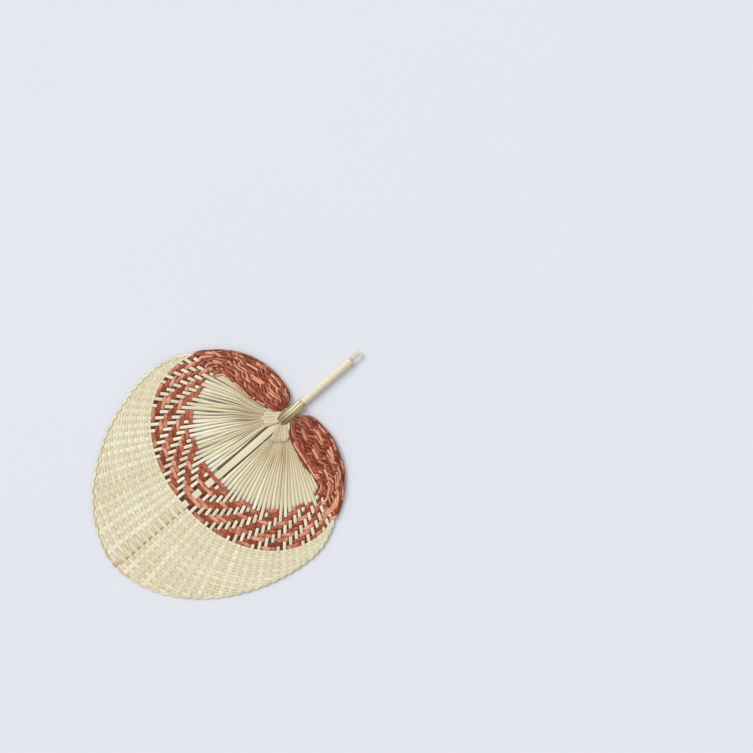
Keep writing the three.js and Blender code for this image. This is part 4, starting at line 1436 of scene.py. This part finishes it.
# Ends of its strips, which are tucked in or run on over the throat as tongues
TUCK_DEPTH = 0.72
TUCK_LENGTH = 0.25 * MM
TONGUE_POINTS = 6
TONGUE_FROM = 2 * MM
TONGUE_ENDS = (5 * MM, 9 * MM)
TONGUE_START = 1.5 * MM
TONGUE_TAPER = 0.055 / MM
TONGUE_FALL = 11 * MM
TONGUE_LIFT = 0.6 * MM

# Flaps that fan out from its front corners
FLAP_STRIPS = 3
FLAP_HALF = 1.4 * MM
FLAP_PITCH = 3 * MM
FLAP_REACH = 12 * MM
FLAP_SHORTENING = 1 * MM
FLAP_AHEAD = 1.5 * MM
FLAP_FANNING = 4.5 * MM
FLAP_INSET = 0.9 * MM
FLAP_HEIGHTS = (1.6 * MM, -0.6 * MM)


def collar_section(along, fraction, inset):
    """Point and outward way on the collar, along it from 0 at the throat to 1 and round it from its top."""
    turn = np.linspace(0, 2 * math.pi, 241)
    power = 2 / COLLAR_SQUARENESS
    half_x = mix(COLLAR_HALVES, along) - inset
    half_z = AXIS_HEIGHT - inset
    x = half_x * np.sign(np.sin(turn)) * np.abs(np.sin(turn)) ** power
    z = half_z * np.sign(np.cos(turn)) * np.abs(np.cos(turn)) ** power
    length = np.concatenate([[0], np.cumsum(np.hypot(np.diff(x), np.diff(z)))])
    at = (fraction % 1) * length[-1]
    x, z = np.interp(at, length, x), np.interp(at, length, z)
    steepness = COLLAR_SQUARENESS - 1
    way = np.array([(x / half_x) ** steepness / half_x, 0, (z / half_z) ** steepness / half_z])
    return np.array([x, mix(COLLAR_ENDS, along), AXIS_HEIGHT + z]), unit(way)


def tucked_end(place, up, sign):
    """Point where a collar strip's end is tucked in, at the throat (sign 1) or at the winding (sign -1)."""
    axis = np.array([0, place[1], AXIS_HEIGHT])
    tucked = axis + (place - axis) * TUCK_DEPTH + np.array([0, sign * TUCK_LENGTH, 0])
    return [tucked], [up * 0.3 + np.array([0, sign, 0])]


def tongue_end(random, place, up):
    """Points past the front end of a collar strip that runs on over the throat and comes down on it."""
    ahead = np.linspace(random.uniform(*TONGUE_ENDS), TONGUE_START, TONGUE_POINTS)
    narrow = 1 - TONGUE_TAPER * ahead
    fall = (place[2] - AXIS_HEIGHT) * ease(1 - ahead / TONGUE_FALL) + TONGUE_LIFT
    tongue = np.column_stack([place[0] * narrow, COLLAR_ENDS[0] + ahead, AXIS_HEIGHT + fall])
    return tongue, [up + np.array([0, 0.3, 0])] * TONGUE_POINTS


def collar_strip(strips, number):
    """One strip along the collar; every other one lies lower, more worn and in painted shade, and towards the
    throat every strip is more worn and in painted shade.
    """
    random = strips.random
    lower = number % 2
    lean = random.uniform(-COLLAR_LEAN, COLLAR_LEAN)
    bow = random.uniform(-COLLAR_BOW, COLLAR_BOW)
    centre, up = [], []
    for along in np.linspace(0, 1, 22):
        around = (number + (0.5 + lean) * (along - 0.5) + bow * math.sin(math.pi * along)) / COLLAR_STRIPS
        place, outward = collar_section(along, around, COLLAR_INSETS[lower])
        centre.append(place)
        up.append(outward)
    if centre[0][2] > AXIS_HEIGHT + TONGUE_FROM:
        front, front_up = tongue_end(random, centre[0], up[0])
    else:
        front, front_up = tucked_end(centre[0], up[0], 1)
    back, back_up = tucked_end(centre[-1], up[-1], -1)
    centre = np.concatenate([front, centre, back])
    up = np.concatenate([front_up, up, back_up])

    share = np.linspace(0, 1, len(centre))
    half = mix(COLLAR_STRIP_HALVES, share) * random.uniform(0.85, 1.15)
    tone = LOWER_TONE if lower else COLLAR_TONES[number // 2]
    # Painted shade on the lower strips and at the throat end, with more wear there too
    throat = 1 - ease(share * 1.3)
    worn = (0.1 + 0.5 * lower) * (1.5 - 1.1 * share) + 0.7 * throat
    dim = lower * (1.5 - 0.9 * share) + (2.3 if tone < 0.4 else 1.6) * throat
    strips.add(centre, up, half, under=dim, aged=worn, tone=tone)


def build_collar():
    """Broad strips folded lengthwise over the throat, on a solid body of more such strips."""
    strips = Strips(seed=71)
    for number in range(COLLAR_STRIPS):
        collar_strip(strips, number)
    front = COLLAR_ENDS[0]
    share = np.linspace(0, 1, 10)
    for side in SIDES.values():
        for k in range(FLAP_STRIPS):
            x = side * mix((COLLAR_HALVES[0] - FLAP_INSET, FLAP_REACH - FLAP_SHORTENING * k), share)
            y = front + mix((-FLAP_PITCH * (k + 1), FLAP_AHEAD - FLAP_FANNING * k), share)
            centre = np.column_stack([x, y, AXIS_HEIGHT + mix(FLAP_HEIGHTS, share)])
            # The flaps carry painted shade and aged colour
            strips.add(centre, (0, 0, 1), FLAP_HALF, under=0.7, aged=0.6, tone=0.2 * k)
    piece = strips.sweep(
        "collar_strips", ochre_leaf(), thickness=0.42 * MM, crown=0.06 * MM, section_points=12)
    place_piece(piece, "ochre_leaf", "throat_collar")
    rings = [
        np.array([collar_section(along, step / BODY_POINTS, BODY_INSET)[0] for step in range(BODY_POINTS)])
        for along in (0.01, 0.3, 0.6, 0.99)]
    body = solid_piece("collar_body", *tube(rings), stalk_finish())
    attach(body, "fan")
    return piece


WINDING_RADIUS = 3.72 * MM
WINDING_HALF = 1.42 * MM
WINDING_LEAN = math.radians(7)
WINDING_DRIFT = 0.1 * MM
WINDING_UNEVEN = 0.06 * MM
TURN_POINTS = 28


def build_handle():
    """Strip wound round the leaf stalk."""
    strips = Strips(seed=73)
    start, end = WRAP_BOX[1].y, WRAP_BOX[0].y
    turns = bpy.context.scene.fan_sizes.winding_turns
    pitch = (start - end) / (turns + 0.9)
    phase = np.linspace(0, 2 * math.pi * turns, TURN_POINTS * turns + 1)
    y = start - pitch * 0.95 - pitch * phase / (2 * math.pi) + wander(strips.random, phase, WINDING_DRIFT, 9)
    radius = WINDING_RADIUS + wander(strips.random, phase, WINDING_UNEVEN, 17)
    outward = np.column_stack([np.cos(phase), np.zeros_like(phase), np.sin(phase)])
    axis = np.column_stack([np.zeros_like(y), y, np.full_like(y, AXIS_HEIGHT)])
    up = outward * math.cos(WINDING_LEAN) + np.array([0, math.sin(WINDING_LEAN), 0])
    strips.add(axis + outward * radius[:, None], up, WINDING_HALF, tone=0.8)
    piece = strips.sweep("handle_winding", pale_leaf(), thickness=0.4 * MM, crown=0.1 * MM)
    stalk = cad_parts["handle_core"]
    stalk.data.materials.clear()
    stalk.data.materials.append(stalk_finish())
    return place_piece(piece, "pale_leaf", "handle_wrap")


LOOP_THICKNESS = 1.6 * MM
LOOP_HALF_WIDTH = 1.0 * MM
LOOP_CLEARANCE = 0.1 * MM
LOOP_SPACING = 0.4 * MM


def build_loop():
    """Strip bent into a hanging loop, with its legs at the stalk's sides."""
    strips = Strips(seed=79)
    half = LOOP_BOX[1].x - LOOP_THICKNESS / 2
    bow = LOOP_BOX[0].y + LOOP_THICKNESS / 2 + half
    root = WRAP_BOX[0].y - LOOP_CLEARANCE
    arc = [(-half * math.cos(t), bow - half * math.sin(t)) for t in np.linspace(0, math.pi, 21)]
    points = np.array([(-half, root), *arc, (half, root)])
    points = smoothed(resampled(points, LOOP_SPACING), 6)
    tangent = np.gradient(points, axis=0)
    outward = np.column_stack([tangent[:, 1], -tangent[:, 0], np.zeros(len(points))])
    centre = np.column_stack([points, np.full(len(points), AXIS_HEIGHT)])
    strips.add(centre, outward, LOOP_HALF_WIDTH, aged=0.12, tone=0.7)
    piece = strips.sweep("hanging_strip", natural_leaf(), LOOP_THICKNESS - LOOP_CLEARANCE, crown=0.05 * MM)
    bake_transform(piece)
    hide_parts("hang_loop")
    return piece


# The photograph is taken from straight above, with the fan turned in its lower left part
CAMERA_PLACE = (-30.9 * MM, -173.2 * MM, 1.0)
CAMERA_TURN = math.radians(229.22)
CAMERA_LENS = 43.9
CAMERA_SENSOR = 36
SKY_COLOUR = (1, 1, 1, 1)
SKY_STRENGTH = 0.58
LIGHT_WAY = (-0.9, -0.1, -1.0)
LIGHT_ENERGY = 1.75
LIGHT_ANGLE = math.radians(40)
TABLE_HALF = 2.0


def build_stage():
    """Table, soft light from the fan's right side and the camera above."""
    scene = bpy.context.scene
    scene.view_settings.view_transform = "Standard"
    corners = [(x * TABLE_HALF, y * TABLE_HALF, 0) for x, y in ((-1, -1), (1, -1), (1, 1), (-1, 1))]
    table = solid_piece("table_top", corners, [(0, 1, 2, 3)], table_finish())
    world = bpy.data.worlds.new("studio")
    world.use_nodes = True
    sky = world.node_tree.nodes["Background"]
    sky.inputs["Color"].default_value = SKY_COLOUR
    sky.inputs["Strength"].default_value = SKY_STRENGTH
    scene.world = world
    light = bpy.data.lights.new("window", "SUN")
    light.energy = LIGHT_ENERGY
    light.angle = LIGHT_ANGLE
    lamp = bpy.data.objects.new("window", light)
    lamp.rotation_euler = Vector(LIGHT_WAY).to_track_quat("-Z", "Y").to_euler()
    scene.collection.objects.link(lamp)
    camera = bpy.data.objects.new("camera", bpy.data.cameras.new("camera"))
    camera.data.sensor_width = CAMERA_SENSOR
    camera.data.lens = CAMERA_LENS
    camera.location = CAMERA_PLACE
    camera.rotation_euler = (0, 0, CAMERA_TURN)
    scene.collection.objects.link(camera)
    scene.camera = camera


class FAN_OT_stage(bpy.types.Operator):
    """Set up the table, the light and the camera"""

    bl_idname = "fan.stage"
    bl_label = "Table, Light and Camera"

    def execute(self, context):
        build_stage()
        return {"FINISHED"}


class FAN_OT_spokes(bpy.types.Operator):
    """Lay the spokes of both halves"""

    bl_idname = "fan.spokes"
    bl_label = "Spokes"

    def execute(self, context):
        for side_name in SIDES:
            build_spokes(side_name)
        return {"FINISHED"}


class FAN_OT_necks(bpy.types.Operator):
    """Gather the spokes' butts and wind a strip round them"""

    bl_idname = "fan.necks"
    bl_label = "Gathered Strips"

    def execute(self, context):
        for side_name in SIDES:
            build_bundle(side_name)
            build_neck(side_name)
        return {"FINISHED"}


class FAN_OT_midrib(bpy.types.Operator):
    """Lay the splint along the ridge"""

    bl_idname = "fan.midrib"
    bl_label = "Ridge Splint"

    def execute(self, context):
        build_midrib()
        return {"FINISHED"}


class FAN_OT_band(bpy.types.Operator):
    """Weave the dyed rows"""

    bl_idname = "fan.band"
    bl_label = "Dyed Band"

    def execute(self, context):
        build_band()
        return {"FINISHED"}


class FAN_OT_natural_rows(bpy.types.Operator):
    """Weave the natural rows"""

    bl_idname = "fan.natural_rows"
    bl_label = "Natural Rows"

    def execute(self, context):
        build_natural_rows()
        return {"FINISHED"}


class FAN_OT_rims(bpy.types.Operator):
    """Fold the edge over"""

    bl_idname = "fan.rims"
    bl_label = "Folded Edge"

    def execute(self, context):
        for side_name in SIDES:
            build_rim(side_name)
        return {"FINISHED"}


class FAN_OT_lobes(bpy.types.Operator):
    """Plait the lobes"""

    bl_idname = "fan.lobes"
    bl_label = "Lobes"

    def execute(self, context):
        for side_name in SIDES:
            build_lobe(side_name)
        return {"FINISHED"}


class FAN_OT_collar(bpy.types.Operator):
    """Fold the strips over the throat"""

    bl_idname = "fan.collar"
    bl_label = "Collar"

    def execute(self, context):
        build_collar()
        return {"FINISHED"}


class FAN_OT_handle(bpy.types.Operator):
    """Wind the handle"""

    bl_idname = "fan.handle"
    bl_label = "Handle"

    def execute(self, context):
        build_handle()
        return {"FINISHED"}


class FAN_OT_loop(bpy.types.Operator):
    """Bend the hanging loop"""

    bl_idname = "fan.loop"
    bl_label = "Hanging Loop"

    def execute(self, context):
        build_loop()
        return {"FINISHED"}


OPERATORS = (
    FAN_OT_stage, FAN_OT_spokes, FAN_OT_necks, FAN_OT_midrib, FAN_OT_band, FAN_OT_natural_rows,
    FAN_OT_rims, FAN_OT_lobes, FAN_OT_collar, FAN_OT_handle, FAN_OT_loop)


class FAN_PT_panel(bpy.types.Panel):
    """Sizes, colours and pieces of the fan"""

    bl_idname = "FAN_PT_panel"
    bl_label = "Palm Leaf Fan"
    bl_space_type = "VIEW_3D"
    bl_region_type = "UI"
    bl_category = "Fan"

    def draw(self, context):
        for group in (context.scene.fan_sizes, context.scene.fan_colours):
            box = self.layout.box()
            for key in type(group).__annotations__:
                box.prop(group, key)
        for operator in OPERATORS:
            self.layout.operator(operator.bl_idname)


CLASSES = (FanSizes, FanColours, *OPERATORS, FAN_PT_panel)


def register():
    for cls in CLASSES:
        bpy.utils.register_class(cls)
    bpy.types.Scene.fan_sizes = bpy.props.PointerProperty(type=FanSizes)
    bpy.types.Scene.fan_colours = bpy.props.PointerProperty(type=FanColours)


def unregister():
    del bpy.types.Scene.fan_colours
    del bpy.types.Scene.fan_sizes
    for cls in reversed(CLASSES):
        bpy.utils.unregister_class(cls)


def main():
    register()
    for operator in OPERATORS:
        group, name = operator.bl_idname.split(".")
        getattr(getattr(bpy.ops, group), name)()


if __name__ == "__main__":
    main()
